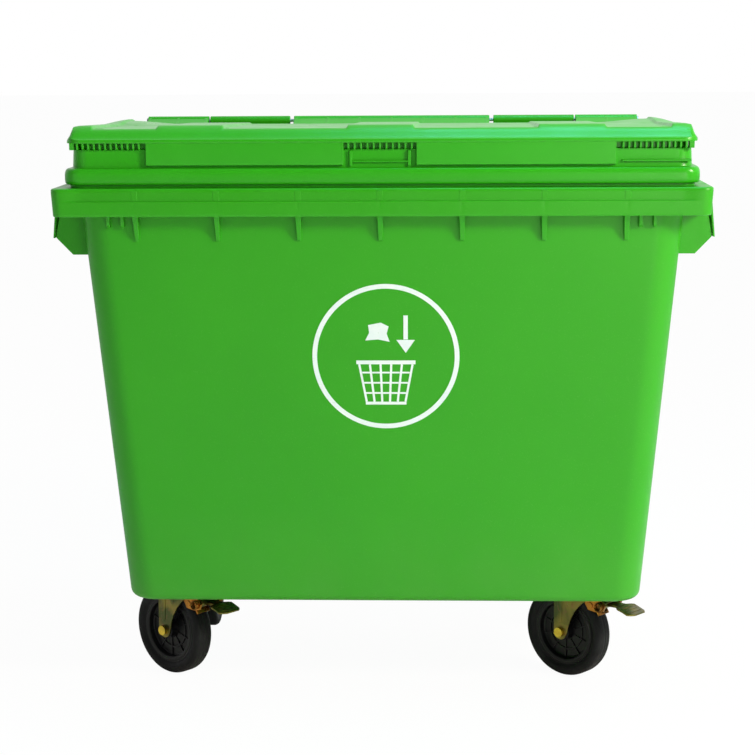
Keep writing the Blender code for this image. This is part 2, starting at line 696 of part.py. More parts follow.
def fork(name, swivel, braked):
    crown = [(CROWN_TOP - CROWN_THICK, CROWN_R), (CROWN_TOP, CROWN_R)]
    made = piece(name, stepped("z", (0, 0), crown, 20), ZINC_YELLOW, parent=swivel)
    outline = leg_outline()
    for side in (-1, 1):
        near, far = sorted((side * LEG_GAP, side * LEG_OUT))
        combine(made, "UNION", prism("y", outline, near, far), parent=swivel)
    rear, front = LEG_HEAD[0] + LEG_HEAD_SLANT + LAP, LEG_HEAD[1] - LEG_HEAD_SLANT - LAP
    web = box(rear, front, -LEG_OUT, LEG_OUT, CROWN_TOP - CROWN_THICK, CROWN_TOP)
    combine(made, "UNION", web, parent=swivel)
    pin = [(CROWN_TOP - CROWN_THICK - CUT, KINGPIN_R + FIT), (CROWN_TOP + CUT, KINGPIN_R + FIT)]
    combine(made, "DIFFERENCE", stepped("z", (0, 0), pin), parent=swivel)
    holes = [((-TRAIL, AXLE_Z), AXLE_R)]
    if braked:
        holes += [(PEDAL_AXIS, PEDAL_PIN_R), (SHOE_AXIS, SHOE_PIN_R)]
    drilled(made, swivel, LEG_OUT + CUT, *holes)


def wheel(name, axle):
    """Hub and tyre: the hub is dished on both sides round its web and boss."""
    half = WHEEL_WIDTH / 2
    boss = LEG_GAP - BOSS_GAP
    bore = AXLE_R + FIT
    inner = HUB_R - HUB_RIM
    hub = [(bore, -boss), (BOSS_R, -boss), (BOSS_R, -HUB_WEB), (inner, -HUB_WEB),
           (inner, -TYRE_SEAT), (HUB_R, -TYRE_SEAT), (HUB_R, TYRE_SEAT), (inner, TYRE_SEAT),
           (inner, HUB_WEB), (BOSS_R, HUB_WEB), (BOSS_R, boss), (bore, boss)]
    piece(f"{name}_hub", turned(hub, WHEEL_SIDES, (0, 0)), BLACK_HUB, parent=axle)
    shoulder, tread = WHEEL_R - TYRE_SHOULDER, half - TYRE_ROUND
    chamfer = (WHEEL_R - TYRE_CHAMFER, half - TYRE_CHAMFER)
    tyre = [(HUB_R + FIT, -TYRE_SEAT), (shoulder, -half), (chamfer[0], -chamfer[1]),
            (WHEEL_R, -tread), (WHEEL_R, tread), chamfer, (shoulder, half),
            (HUB_R + FIT, TYRE_SEAT)]
    piece(f"{name}_tyre", turned(tyre, WHEEL_SIDES, (0, 0)), RUBBER, parent=axle)


def axle_bolt(name, axle):
    face = LEG_OUT + FIT
    end = face + NUT_HEIGHT + AXLE_END
    bolt = [(-face - AXLE_HEAD, AXLE_HEAD_R), (-face, AXLE_HEAD_R), (-face, AXLE_R), (end, AXLE_R)]
    piece(f"{name}_axle_bolt", stepped("y", (0, 0), bolt), ZINC_YELLOW, parent=axle)
    nut = [(face, AXLE_HEAD_R), (face + NUT_HEIGHT, AXLE_HEAD_R)]
    made = piece(f"{name}_axle_nut", stepped("y", (0, 0), nut, 6), ZINC_YELLOW, parent=axle)
    drilled(made, axle, face + NUT_HEIGHT + CUT, ((0, 0), AXLE_R))


def brake(name, swivel):
    """Pedal and shoe, each on its own cross pin through the fork's ears."""
    pedal_axis = axis_empty(f"{name}_pedal_axis", (PEDAL_AXIS[0], 0, PEDAL_AXIS[1]), swivel)
    barrel = [(-BARREL_HALF, PEDAL_BARREL_R), (BARREL_HALF, PEDAL_BARREL_R)]
    pedal = piece(f"{name}_brake_pedal", stepped("y", (0, 0), barrel), ZINC_YELLOW,
                  parent=pedal_axis)
    near, far = PEDAL_REACH
    thick = PEDAL_PLATE_THICK
    top, under = PEDAL_ARM_TOP, PEDAL_ARM_TOP - PEDAL_ARM_THICK
    arm = [(0, under - LAP), (near, under), (near, top), (0, top)]
    plate = [(near - thick, under), (far, -PEDAL_FALL - thick), (far, -PEDAL_FALL),
             (near - thick, top)]
    combine(pedal, "UNION", prism("y", arm, -PEDAL_ARM_HALF, PEDAL_ARM_HALF),
            prism("y", plate, *PEDAL_PLATE), parent=pedal_axis)
    drilled(pedal, pedal_axis, BARREL_HALF + CUT, ((0, 0), PEDAL_PIN_R))

    shoe_axis = axis_empty(f"{name}_shoe_axis", (SHOE_AXIS[0], 0, SHOE_AXIS[1]), swivel)
    centre = (-TRAIL - SHOE_AXIS[0], AXLE_Z - SHOE_AXIS[1])
    near = WHEEL_R / math.cos(math.pi / WHEEL_SIDES) + SHOE_GAP
    band = []
    for radius, angles in ((near, SHOE_ARC), (near + SHOE_THICK, SHOE_ARC[::-1])):
        for a in angles:
            band.append((centre[0] + radius * math.cos(math.radians(a)),
                         centre[1] + radius * math.sin(math.radians(a))))
    barrel = [(-SHOE_HALF, SHOE_BARREL_R), (SHOE_HALF, SHOE_BARREL_R)]
    shoe = piece(f"{name}_brake_shoe", stepped("y", (0, 0), barrel), ZINC_YELLOW, parent=shoe_axis)
    across, lift = SHOE_ARM
    arm = [band[5], band[4], (-across, lift), (across, -lift)]
    combine(shoe, "UNION", prism("y", arm, -SHOE_HALF, SHOE_HALF),
            prism("y", band, -SHOE_HALF, SHOE_HALF), parent=shoe_axis)
    drilled(shoe, shoe_axis, SHOE_HALF + CUT, ((0, 0), SHOE_PIN_R))
    reach = LEG_OUT + PIN_PROUD
    for word, axis, radius in (("pedal", PEDAL_AXIS, PEDAL_PIN_R), ("shoe", SHOE_AXIS, SHOE_PIN_R)):
        pin = [(-reach, radius), (reach, radius)]
        piece(f"{name}_{word}_pin", stepped("y", axis, pin), ZINC_BRIGHT,
              (axis[0], 0, axis[1]), swivel)


def caster(name, x, y, heading, braked):
    swivel = axis_empty(f"{name}_swivel_axis", (x, y, 0), heading=heading)
    fixed = axis_empty(f"{name}_plate_frame", (x, y, 0))
    low = CASTER_HEIGHT - PLATE_THICK
    across, deep = PLATE_HALF
    plate_loops = []
    for z in (low, CASTER_HEIGHT):
        plate_loops.append(rounded_rect(-across, across, -deep, deep, PLATE_CORNER_R, z, 2))
    plate = piece(f"{name}_plate", loft(plate_loops), ZINC_YELLOW, parent=fixed)
    ring = [(RACE_BOTTOM, RACE_R), (low + LAP, RACE_R)]
    combine(plate, "UNION", stepped("z", (0, 0), ring, 20), parent=fixed)
    pin_hole = [(RACE_BOTTOM - CUT, KINGPIN_R + FIT), (CASTER_HEIGHT + CUT, KINGPIN_R + FIT)]
    combine(plate, "DIFFERENCE", stepped("z", (0, 0), pin_hole), parent=fixed)
    for number, (bolt_x, bolt_y) in enumerate(bolt_places(0, 0), 1):
        hole = [(low - CUT, BOLT_R + FIT), (CASTER_HEIGHT + CUT, BOLT_R + FIT)]
        combine(plate, "DIFFERENCE", stepped("z", (bolt_x, bolt_y), hole, 6), parent=fixed)
        head = low - FIT
        bolt = [(head - BOLT_HEAD, BOLT_HEAD_R), (head, BOLT_HEAD_R), (head, BOLT_R),
                (low + BOLT_LENGTH, BOLT_R)]
        piece(f"{name}_mount_bolt_{number}", stepped("z", (bolt_x, bolt_y), bolt, 6),
              ZINC_BRIGHT, parent=fixed)

    head = CROWN_TOP - CROWN_THICK - FIT
    kingpin = [(head - KINGPIN_HEAD, KINGPIN_HEAD_R), (head, KINGPIN_HEAD_R),
               (head, KINGPIN_R), (CASTER_HEIGHT - FIT, KINGPIN_R)]
    piece(f"{name}_kingpin", stepped("z", (0, 0), kingpin), ZINC_BRIGHT, parent=fixed)
    fork(f"{name}_fork", swivel, braked)
    axle = axis_empty(f"{name}_axle_axis", (-TRAIL, 0, AXLE_Z), swivel)
    wheel(name, axle)
    axle_bolt(name, axle)
    if braked:
        brake(name, swivel)


for place in caster_places():
    caster(*place)
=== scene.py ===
"""Four-wheeled 660-litre litter bin: the finished look around its solid parts.

Metres, +Z up, the bin's front faces -Y. The sections follow the bin as it is put together.
"""

from math import cos, hypot, pi, radians, sin, sqrt, tan

import bmesh
import bpy
from mathutils import Matrix, Vector


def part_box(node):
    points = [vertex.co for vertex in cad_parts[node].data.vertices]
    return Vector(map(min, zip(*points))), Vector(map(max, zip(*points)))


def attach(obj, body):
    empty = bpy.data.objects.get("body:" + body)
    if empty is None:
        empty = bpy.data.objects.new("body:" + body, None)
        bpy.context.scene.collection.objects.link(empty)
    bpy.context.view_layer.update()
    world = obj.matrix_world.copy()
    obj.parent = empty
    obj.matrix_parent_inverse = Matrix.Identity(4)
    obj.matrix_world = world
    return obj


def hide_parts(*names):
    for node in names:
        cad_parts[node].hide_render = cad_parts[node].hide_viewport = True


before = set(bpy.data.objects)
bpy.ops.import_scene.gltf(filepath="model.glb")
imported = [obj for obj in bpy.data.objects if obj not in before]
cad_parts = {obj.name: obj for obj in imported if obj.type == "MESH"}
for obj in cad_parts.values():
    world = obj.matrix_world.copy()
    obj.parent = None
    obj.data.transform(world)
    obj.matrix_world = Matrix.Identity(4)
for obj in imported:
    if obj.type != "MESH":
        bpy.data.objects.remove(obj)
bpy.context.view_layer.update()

# ---- Camera ----
# Stands a little right of the bin's middle, 1.36 m up and 4.1 m from its front, tipped down 9
# degrees and turned slightly to the left.
CAMERA_PLACE = Vector((0.15677, -4.44644, 1.35562))
CAMERA_YAW = radians(-2.303)
CAMERA_PITCH = radians(9.203)
CAMERA_ROLL = radians(-0.346)
CAMERA_LENS = 96.33


def placed(name, data):
    """An object that holds some data, in the scene."""
    made = bpy.data.objects.new(name, data)
    bpy.context.scene.collection.objects.link(made)
    return made


camera_data = bpy.data.cameras.new("camera")
camera_data.lens = CAMERA_LENS
camera_data.sensor_width = 36
camera_data.clip_end = 200
camera = placed("camera", camera_data)
turn = Matrix.Rotation(-CAMERA_YAW, 4, "Z") @ Matrix.Rotation(pi / 2 - CAMERA_PITCH, 4, "X")
camera.matrix_world = (Matrix.Translation(CAMERA_PLACE) @ turn
                       @ Matrix.Rotation(CAMERA_ROLL, 4, "Z"))
bpy.context.scene.camera = camera
bpy.context.scene.view_settings.view_transform = "Standard"


# ---- Studio: pale floor, soft key from the right, cool light overhead ----
# The floor is a matt white sheet. A large key panel stands to the right in front, a small one
# lights the front's right edge, a cool one hangs overhead and a weak one fills in from the left.
# The room is white behind the bin and darker in front of it.
def linear(code):
    """The linear colour of an sRGB hex code."""
    parts = [int(code[i:i + 2], 16) / 255 for i in (0, 2, 4)]
    return (*[p / 12.92 if p <= 0.04045 else ((p + 0.055) / 1.055) ** 2.4 for p in parts], 1.0)


def put(tree, kind, inputs=None, **settings):
    """Adds a node: its inputs are values, sockets, or nodes whose first output they take."""
    made = tree.nodes.new("ShaderNode" + kind)
    for key, value in settings.items():
        setattr(made, key, value)
    for key, value in (inputs or {}).items():
        if isinstance(value, bpy.types.Node):
            value = next(socket for socket in value.outputs if socket.enabled)
        if isinstance(value, bpy.types.NodeSocket):
            tree.links.new(value, made.inputs[key])
        else:
            made.inputs[key].default_value = value
    return made


def blank(name):
    """An empty material, its node tree, and the place of a shaded point in metres."""
    made = bpy.data.materials.new(name)
    made.use_nodes = True
    made.node_tree.nodes.clear()
    return made, made.node_tree, put(made.node_tree, "NewGeometry")


def mottled(tree, place, scale, detail, deep, light, **shape):
    """Clouds of a scale per metre, and the colour that drifts between two codes in them."""
    clouds = put(tree, "TexNoise", {"Vector": place, "Scale": scale, "Detail": detail, **shape})
    return clouds, put(tree, "Mix", {"Factor": clouds, "A": linear(deep), "B": linear(light)},
                       data_type="RGBA")


FLOOR_GLOW = 0.96
FLOOR_HALF = 60.0


def floor_sheet():
    """Matt white floor with a faint mottle, which glows to the camera only."""
    made, tree, place = blank("matt_white_floor")
    _, tint = mottled(tree, place, 3.0, 3.0, "f4f4f3", "f9f9f9")
    shader = put(tree, "BsdfPrincipled", {"Base Color": tint, "Roughness": 0.9,
                                          "Specular IOR Level": 0.1})
    glow = put(tree, "Emission", {"Color": linear("ffffff"), "Strength": 1.0})
    seen = put(tree, "Math", {0: put(tree, "LightPath"), 1: FLOOR_GLOW}, operation="MULTIPLY")
    both = put(tree, "MixShader", {0: seen, 1: shader, 2: glow})
    put(tree, "OutputMaterial", {"Surface": both})
    return made


floor_mesh = bpy.data.meshes.new("floor")
floor_mesh.from_pydata([(x * FLOOR_HALF, y * FLOOR_HALF, 0)
                        for x, y in ((-1, -1), (1, -1), (1, 1), (-1, 1))], [], [(0, 1, 2, 3)])
floor_mesh.materials.append(floor_sheet())
floor = placed("floor", floor_mesh)


def panel_light(name, place, aim, width, height, power, code):
    """A soft rectangular light panel."""
    data = bpy.data.lights.new(name, "AREA")
    data.shape = "RECTANGLE"
    data.size, data.size_y = width, height
    data.energy = power
    data.color = linear(code)[:3]
    made = placed(name, data)
    made.location = place
    made.rotation_euler = (Vector(aim) - Vector(place)).to_track_quat("-Z", "Y").to_euler()


panel_light("key_panel", (3.9, -2.7, 3.0), (0.1, 0, 0.7), 1.1, 1.1, 268, "fff6e4")
panel_light("side_panel", (1.35, -3.9, 0.95), (0.55, -0.385, 0.95), 0.7, 1.0, 17, "fff4ec")
panel_light("top_panel", (0.62, -0.2, 3.3), (0.62, -0.2, 1.1), 1.4, 1.0, 38, "8cefff")
panel_light("fill_panel", (-3.4, -4.0, 1.6), (0, 0, 0.6), 2.5, 2.0, 9, "ffffff")

world = bpy.data.worlds.new("white_room")
bpy.context.scene.world = world
world.use_nodes = True
world.node_tree.nodes.clear()
sky = world.node_tree
heading = put(sky, "SeparateXYZ", {"Vector": put(sky, "TexCoord")})
behind = put(sky, "MapRange", {"Value": heading.outputs["Y"], "From Min": -0.35,
                               "From Max": 0.55, "To Min": 0.15, "To Max": 1.0})
shown_white = put(sky, "Math", {0: behind, 1: put(sky, "LightPath")}, operation="MAXIMUM")
backdrop = put(sky, "Background", {"Color": linear("ffffff"), "Strength": shown_white})
put(sky, "OutputWorld", {"Surface": backdrop})


# ---- Tub ----
# Injection-moulded HDPE, 5 mm thick, drawn out of its mould by its leaning walls. The rim is a
# hollow skirt with a 3.5 mm step along its front and rear, and sinks where the gussets meet it.
RIM_TOP = 1.082
RIM_BOTTOM = 1.025
RIM_HALF = 0.670
RIM_FRONT = -0.385
RIM_REAR = 0.345
RIM_TAPER = 0.004
RIM_CORNER = 0.022
RIM_STEP_Z = 1.056
RIM_STEP = 0.0035
RIM_ROUND = 0.005
TUB_TOP_HALF = 0.617
TUB_TOP_FRONT = -0.355
TUB_TOP_REAR = 0.308
SIDE_LEAN = tan(radians(5.2))
END_LEAN = tan(radians(3.0))
TUB_BOTTOM = 0.2045
TUB_CORNER = 0.060
TUB_FOOT = 0.016
WALL = 0.005
GUSSET_PITCH = 0.1657
GUSSET_X = [GUSSET_PITCH * (k - 3) for k in range(7)]
SINK_HALF = 0.008
SINK_DEPTH = 0.0006
BOW = 0.0016
BOW_SPAN = 1.15
CORNER_STEPS = 10


def side_x(z):
    """Outer half width of the tub at a height; the walls lean out from the floor to the rim."""
    return TUB_TOP_HALF - (RIM_BOTTOM - z) * SIDE_LEAN


def front_y(z):
    return TUB_TOP_FRONT + (RIM_BOTTOM - z) * END_LEAN


def rear_y(z):
    return TUB_TOP_REAR - (RIM_BOTTOM - z) * END_LEAN


def ramp(value, start, end):
    """Smooth step from 0 at start to 1 at end."""
    share = min(1.0, max(0.0, (value - start) / (end - start)))
    return share * share * (3 - 2 * share)


def wall_bow(x, z):
    """How far a long moulded wall is drawn in as it cools."""
    up = min(1.0, max(0.0, (z - TUB_BOTTOM) / (RIM_BOTTOM - TUB_BOTTOM)))
    return BOW * sin(pi * up) * max(0.0, cos(pi * x / BOW_SPAN))


def thinned(places, gap):
    """Sorted places, without those that come too soon after the one before."""
    places = sorted(places)
    return [p for i, p in enumerate(places) if i == 0 or p - places[i - 1] > gap]


def columns():
    """Places across the tub's front, closer together over the gussets, as shares of half."""
    straight = RIM_HALF - RIM_CORNER
    places = {round(-1 + 2 * i / 90, 5) for i in range(91)}
    for x in GUSSET_X:
        places |= {round((x + d * 0.0027) / straight, 5) for d in range(-4, 5)}
    return thinned(places, 0.0015)


COLUMNS = columns()
SIDE_ROWS = [i / 40 for i in range(41)]


def arc(centre, radius, start, sweep, steps):
    """Flat points along an arc, its angles in degrees."""
    turns = [radians(start + sweep * i / steps) for i in range(steps + 1)]
    return [(centre[0] + radius * cos(a), centre[1] + radius * sin(a)) for a in turns]


def quarter(steps, first=0):
    """How far a quarter round has gone along (0 to 1) and has still to go across (1 to 0)."""
    turns = [radians(90 * i / steps) for i in range(first, steps + 1)]
    return [(1 - cos(a), 1 - sin(a)) for a in turns]


def tub_ring(half, front, rear, radius, z, dip=None):
    """One level outline, anticlockwise from above; dip(x, z) pushes front and rear inwards."""
    dip = dip or (lambda x, z: 0.0)
    straight = half - radius
    low, high = front + radius, rear - radius
    across = [u * straight for u in COLUMNS]
    points = [(x, front + dip(x, z)) for x in across]
    points += arc((straight, low), radius, -90, 90, CORNER_STEPS)[1:-1]
    points += [(half, low + (high - low) * v) for v in SIDE_ROWS]
    points += arc((straight, high), radius, 0, 90, CORNER_STEPS)[1:-1]
    points += [(-x, rear - dip(-x, z)) for x in across]
    points += arc((-straight, high), radius, 90, 90, CORNER_STEPS)[1:-1]
    points += [(-half, high - (high - low) * v) for v in SIDE_ROWS]
    points += arc((-straight, low), radius, 180, 90, CORNER_STEPS)[1:-1]
    return [Vector((x, y, z)) for x, y in points]


def body_ring(z, inset=0.0, bow=True):
    return tub_ring(side_x(z) - inset, front_y(z) + inset, rear_y(z) - inset,
                    TUB_CORNER - inset, z, wall_bow if bow else None)


def rim_dip(x, z):
    """The rim's step between its corners, and the sink marks over the gussets."""
    inside = 1 - ramp(abs(x), 0.612, 0.640)
    step = RIM_STEP * inside * ramp(z, RIM_STEP_Z - 0.0007, RIM_STEP_Z + 0.0007)
    sink = sum(max(0.0, 1 - abs(x - g) / SINK_HALF) ** 2 for g in GUSSET_X)
    return step + SINK_DEPTH * sink * ramp(z, RIM_BOTTOM, RIM_STEP_Z)


def rim_ring(z, inset=0.0, dip=rim_dip):
    half = RIM_HALF - RIM_TAPER * (RIM_TOP - z) / (RIM_TOP - RIM_BOTTOM)
    return tub_ring(half - inset, RIM_FRONT + inset, RIM_REAR - inset,
                    max(RIM_CORNER - inset, 0.004), z, dip)


def quads(bm, rows, closed=True):
    """Skins neighbouring rows of points with four-sided faces."""
    for near, far in zip(rows, rows[1:]):
        for i in range(len(near) if closed else len(near) - 1):
            j = (i + 1) % len(near)
            bm.faces.new((near[i], near[j], far[j], far[i]))


def stack(rings, looped=False):
    """A bmesh skinned over rings of equal count, with flat ends or turned back on itself."""
    bm = bmesh.new()
    rows = [[bm.verts.new(p) for p in ring] for ring in rings]
    if looped:
        rows.append(rows[0])
    quads(bm, rows)
    if not looped:
        bm.faces.new(rows[0][::-1])
        bm.faces.new(rows[-1])
    return bm


def round_edges(made, width, sharp):
    """Rounds an object's edges that turn by more than an angle."""
    rounding = made.modifiers.new("round_edges", "BEVEL")
    rounding.width = width
    rounding.segments = 2
    rounding.limit_method = "ANGLE"
    rounding.angle_limit = radians(sharp)
    return rounding


def finish_mesh(name, bm, finish, sharp=30, bevel=0.0):
    """The object of a bmesh, smooth but for its sharp edges, which a bevel may round."""
    bmesh.ops.recalc_face_normals(bm, faces=bm.faces)
    mesh = bpy.data.meshes.new(name)
    bm.to_mesh(mesh)
    bm.free()
    mesh.shade_smooth()
    mesh.materials.append(finish)
    made = placed(name, mesh)
    if bevel:
        round_edges(made, bevel, sharp).harden_normals = True
    else:
        mesh.set_sharp_from_angle(angle=radians(sharp))
    return made


def spotted(tree, place, scale, detail, limits, most, under, code, **shape):
    """Lays one colour over another where noise of a scale passes its limits."""
    noise = put(tree, "TexNoise", {"Vector": place, "Scale": scale, "Detail": detail, **shape})
    share = put(tree, "MapRange", {"Value": noise, "From Min": limits[0],
                                   "From Max": limits[1], "To Max": most})
    return put(tree, "Mix", {"Factor": share, "A": under, "B": linear(code)}, data_type="RGBA")


def coat(tree, place, grain, strength, depth, under=None, **inputs):
    """Closes a material: a fine grain bumps its skin, over a coarser bump if there is one."""
    fine = put(tree, "TexNoise", {"Vector": place, "Scale": grain[0], "Detail": grain[1]})
    skin = put(tree, "Bump", {"Height": fine, "Strength": strength, "Distance": depth})
    if under:
        tree.links.new(under.outputs[0], skin.inputs["Normal"])
    named = {key.replace("_", " "): value for key, value in inputs.items()}
    shader = put(tree, "BsdfPrincipled", {**named, "Normal": skin})
    put(tree, "OutputMaterial", {"Surface": shader})


def moulded_hdpe(name, light, deep, roughness):
    """Injection-moulded polyethylene, IOR 1.53: one pigment with slow flow clouds, a fine
    2 mm orange peel, hair scratches a few centimetres long, and dust near the ground."""
    made, tree, place = blank(name)
    _, tint = mottled(tree, place, 2.2, 4.0, deep, light, Roughness=0.55, Distortion=0.6)
    specked = spotted(tree, place, 420.0, 2.0, (0.62, 0.75), 0.10, tint, "8fcf6a")
    height = put(tree, "SeparateXYZ", {"Vector": place}).outputs["Z"]
    low = put(tree, "MapRange", {"Value": height, "From Min": 0.20, "From Max": 0.42,
                                 "To Min": 0.16, "To Max": 0.0})
    patches = put(tree, "TexNoise", {"Vector": place, "Scale": 9.0, "Detail": 5.0})
    dust = put(tree, "Math", {0: low, 1: patches}, operation="MULTIPLY")
    colour = put(tree, "Mix", {"Factor": dust, "A": specked, "B": linear("7d8f60")},
                 data_type="RGBA")
    stretched = put(tree, "Mapping", {"Vector": place, "Rotation": (0.4, 0.5, 0.3),
                                      "Scale": (9.0, 9.0, 160.0)})
    hairs = put(tree, "TexNoise", {"Vector": stretched, "Scale": 3.0, "Detail": 1.0})
    scratched = put(tree, "MapRange", {"Value": hairs, "From Min": 0.66, "From Max": 0.72})
    wear = put(tree, "TexNoise", {"Vector": place, "Scale": 14.0, "Detail": 6.0,
                                  "Roughness": 0.6})
    gloss = put(tree, "MapRange", {"Value": wear, "From Min": 0.3, "From Max": 0.7,
                                   "To Min": roughness - 0.05, "To Max": roughness + 0.07})
    dulled = put(tree, "Math", {0: scratched, 1: 0.10, 2: gloss}, operation="MULTIPLY_ADD")
    waves = put(tree, "TexNoise", {"Vector": place, "Scale": 11.0, "Detail": 2.0})
    wavy = put(tree, "Bump", {"Height": waves, "Strength": 0.10, "Distance": 0.004})
    coat(tree, place, (480.0, 2.0), 0.06, 0.0006, under=wavy, Base_Color=colour,
         Roughness=dulled, IOR=1.53, Specular_IOR_Level=0.32)
    return made


TUB_GREEN = moulded_hdpe("moulded_green_hdpe_tub", "30a20a", "289508", 0.38)
LID_GREEN = moulded_hdpe("moulded_green_hdpe_lid", "30a812", "289c0e", 0.32)


def tub_shell():
    """Rings from the underside up the outer wall, out and down the hollow rim, up its skirt,
    over the top and down inside to the floor."""
    low, under = TUB_BOTTOM + TUB_FOOT, RIM_TOP - WALL
    floor_top, inner_foot = TUB_BOTTOM + WALL, TUB_FOOT - WALL
    fillet, edge = 0.006, 0.004
    rings = [body_ring(TUB_BOTTOM + TUB_FOOT * up, TUB_FOOT * left, bow=False)
             for up, left in quarter(6)]
    for i in range(1, 33):
        rings.append(body_ring(low + (under - 0.007 - low) * i / 32))
    for out, left in quarter(4, 1):
        rings.append(body_ring(under - fillet * left, -fillet * out))
    for z, inset in ((under, WALL + 0.005), (under - 0.002, WALL + 0.0006),
                     (under - 0.006, WALL), (RIM_BOTTOM + 0.0016, WALL),
                     (RIM_BOTTOM + 0.0004, WALL - 0.0008), (RIM_BOTTOM, WALL - 0.0016)):
        rings.append(rim_ring(z, inset, None))
    rings.append(rim_ring(RIM_BOTTOM, 0.0016))
    rings.append(rim_ring(RIM_BOTTOM + 0.0005, 0.0005))
    for z in (RIM_BOTTOM + 0.0016, 1.032, 1.040, 1.048, 1.0535, 1.0548, 1.0554, RIM_STEP_Z,
              1.0566, 1.0572, 1.0585, 1.063, 1.068, 1.073):
        rings.append(rim_ring(z))
    for into, left in quarter(5, 1):
        rings.append(rim_ring(RIM_TOP - RIM_ROUND * left, RIM_ROUND * into))
    for down, left in quarter(4):
        rings.append(body_ring(RIM_TOP - edge * down, WALL - edge * left))
    drop = floor_top + inner_foot - (RIM_TOP - edge)
    for i in range(1, 25):
        rings.append(body_ring(RIM_TOP - edge + drop * i / 24, WALL))
    for into, left in quarter(5, 1):
        rings.append(body_ring(floor_top + inner_foot * left, WALL + inner_foot * into,
                               bow=False))
    return stack(rings)


def bar(points, start, end, axis):
    """A straight bar: flat (a, b) points carried along an axis from one end to the other."""
    order = {"x": lambda a, b, t: (t, a, b), "y": lambda a, b, t: (a, t, b),
             "z": lambda a, b, t: (a, b, t)}[axis]
    return stack([[Vector(order(a, b, t)) for a, b in points] for t in sorted((start, end))])


def rounded(half_a, half_b, radius, centre):
    """A flat rectangle with round corners."""
    points = []
    for a, b, start in ((1, -1, -90), (1, 1, 0), (-1, 1, 90), (-1, -1, 180)):
        middle = (centre[0] + a * (half_a - radius), centre[1] + b * (half_b - radius))
        points += arc(middle, radius, start, 90, 5)
    return points


def shifted(points, a, b):
    """Flat points moved by a and b."""
    return [(p + a, q + b) for p, q in points]


def disc(radius, sides=32, centre=(0.0, 0.0)):
    return arc(centre, radius, 0, 360, sides)[:-1]


def join(target, *others):
    """Adds other bmeshes into one."""
    for other in others:
        mesh = bpy.data.meshes.new("joined")
        other.to_mesh(mesh)
        other.free()
        target.from_mesh(mesh)
        bpy.data.meshes.remove(mesh)
    return target


def carve(made, operation, bm):
    """Cuts or adds a closed bmesh and keeps the result as the object's own mesh."""
    bmesh.ops.recalc_face_normals(bm, faces=bm.faces)
    mesh = bpy.data.meshes.new("cutter")
    bm.to_mesh(mesh)
    bm.free()
    other = placed("cutter", mesh)
    modifier = made.modifiers.new("carve", "BOOLEAN")
    modifier.operation, modifier.object, modifier.solver = operation, other, "EXACT"
    graph = bpy.context.evaluated_depsgraph_get()
    result = bpy.data.meshes.new_from_object(made.evaluated_get(graph))
    made.modifiers.remove(modifier)
    made.data = result
    bpy.data.objects.remove(other)


CASTERS = {}
for word in ("front_left", "front_right", "rear_left", "rear_right"):
    plate_low, plate_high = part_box(f"{word}_plate")
    CASTERS[word] = (plate_low + plate_high) / 2
POCKET_HALF = (0.080, 0.072)
POCKET_CORNER = 0.020
POCKET_TOP = 0.2453
PAD_THICK = 0.022
MOUNT_BOLTS = [(i * 0.0525, j * 0.040) for i in (-1, 1) for j in (-1, 1)]
MOUNT_HOLE_R = 0.0056
MOUNT_HOLE_TOP = 0.264
DRAIN_Y = 0.020
DRAIN_HOLE_R = 0.0253
DRAIN_HOLE_TOP = 0.22

tub = finish_mesh("tub_shell", tub_shell(), TUB_GREEN)
bumps, pockets = bmesh.new(), bmesh.new()
for centre in CASTERS.values():
    place = (centre.x, centre.y)
    grown = rounded(POCKET_HALF[0] + WALL, POCKET_HALF[1] + WALL, POCKET_CORNER + WALL, place)
    join(bumps, bar(grown, TUB_BOTTOM + 0.0015, POCKET_TOP + PAD_THICK, "z"))
    hollow = rounded(*POCKET_HALF, POCKET_CORNER, place)
    join(pockets, bar(hollow, TUB_BOTTOM - 0.01, POCKET_TOP, "z"))
drain = disc(DRAIN_HOLE_R, 32, (0, DRAIN_Y))
join(pockets, bar(drain, TUB_BOTTOM - 0.01, DRAIN_HOLE_TOP, "z"))
carve(tub, "UNION", bumps)
carve(tub, "DIFFERENCE", pockets)
bores = bmesh.new()
for centre in CASTERS.values():
    for dx, dy in MOUNT_BOLTS:
        hole = disc(MOUNT_HOLE_R, 16, (centre.x + dx, centre.y + dy))
        join(bores, bar(hole, POCKET_TOP - 0.01, MOUNT_HOLE_TOP, "z"))
carve(tub, "DIFFERENCE", bores)
tub.data.set_sharp_from_angle(angle=radians(30))
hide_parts("tub")
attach(tub, "root")


# ---- Gussets under the front of the rim ----
# Seven tongues tie the rim's skirt to the front wall, each drawn thinner towards its point, with
# two pairs of short ribs near the corners.
GUSSET_DROP = 0.052
GUSSET_ROOT = 0.0064
GUSSET_TIP = 0.0046
SHORT_RIBS = (0.525, 0.554)
SHORT_DROP = 0.024
SHORT_TOP = 1.05
SHORT_HALVES = (0.0036, 0.0034)


def tongue(x, outline, root, tip):
    """A rib across X whose half thickness falls from root to tip with the outline's depth."""
    return stack([[(x + side * (root + (tip - root) * share), y, z)
                   for y, z, share in reversed(outline)] for side in (-1, 1)])



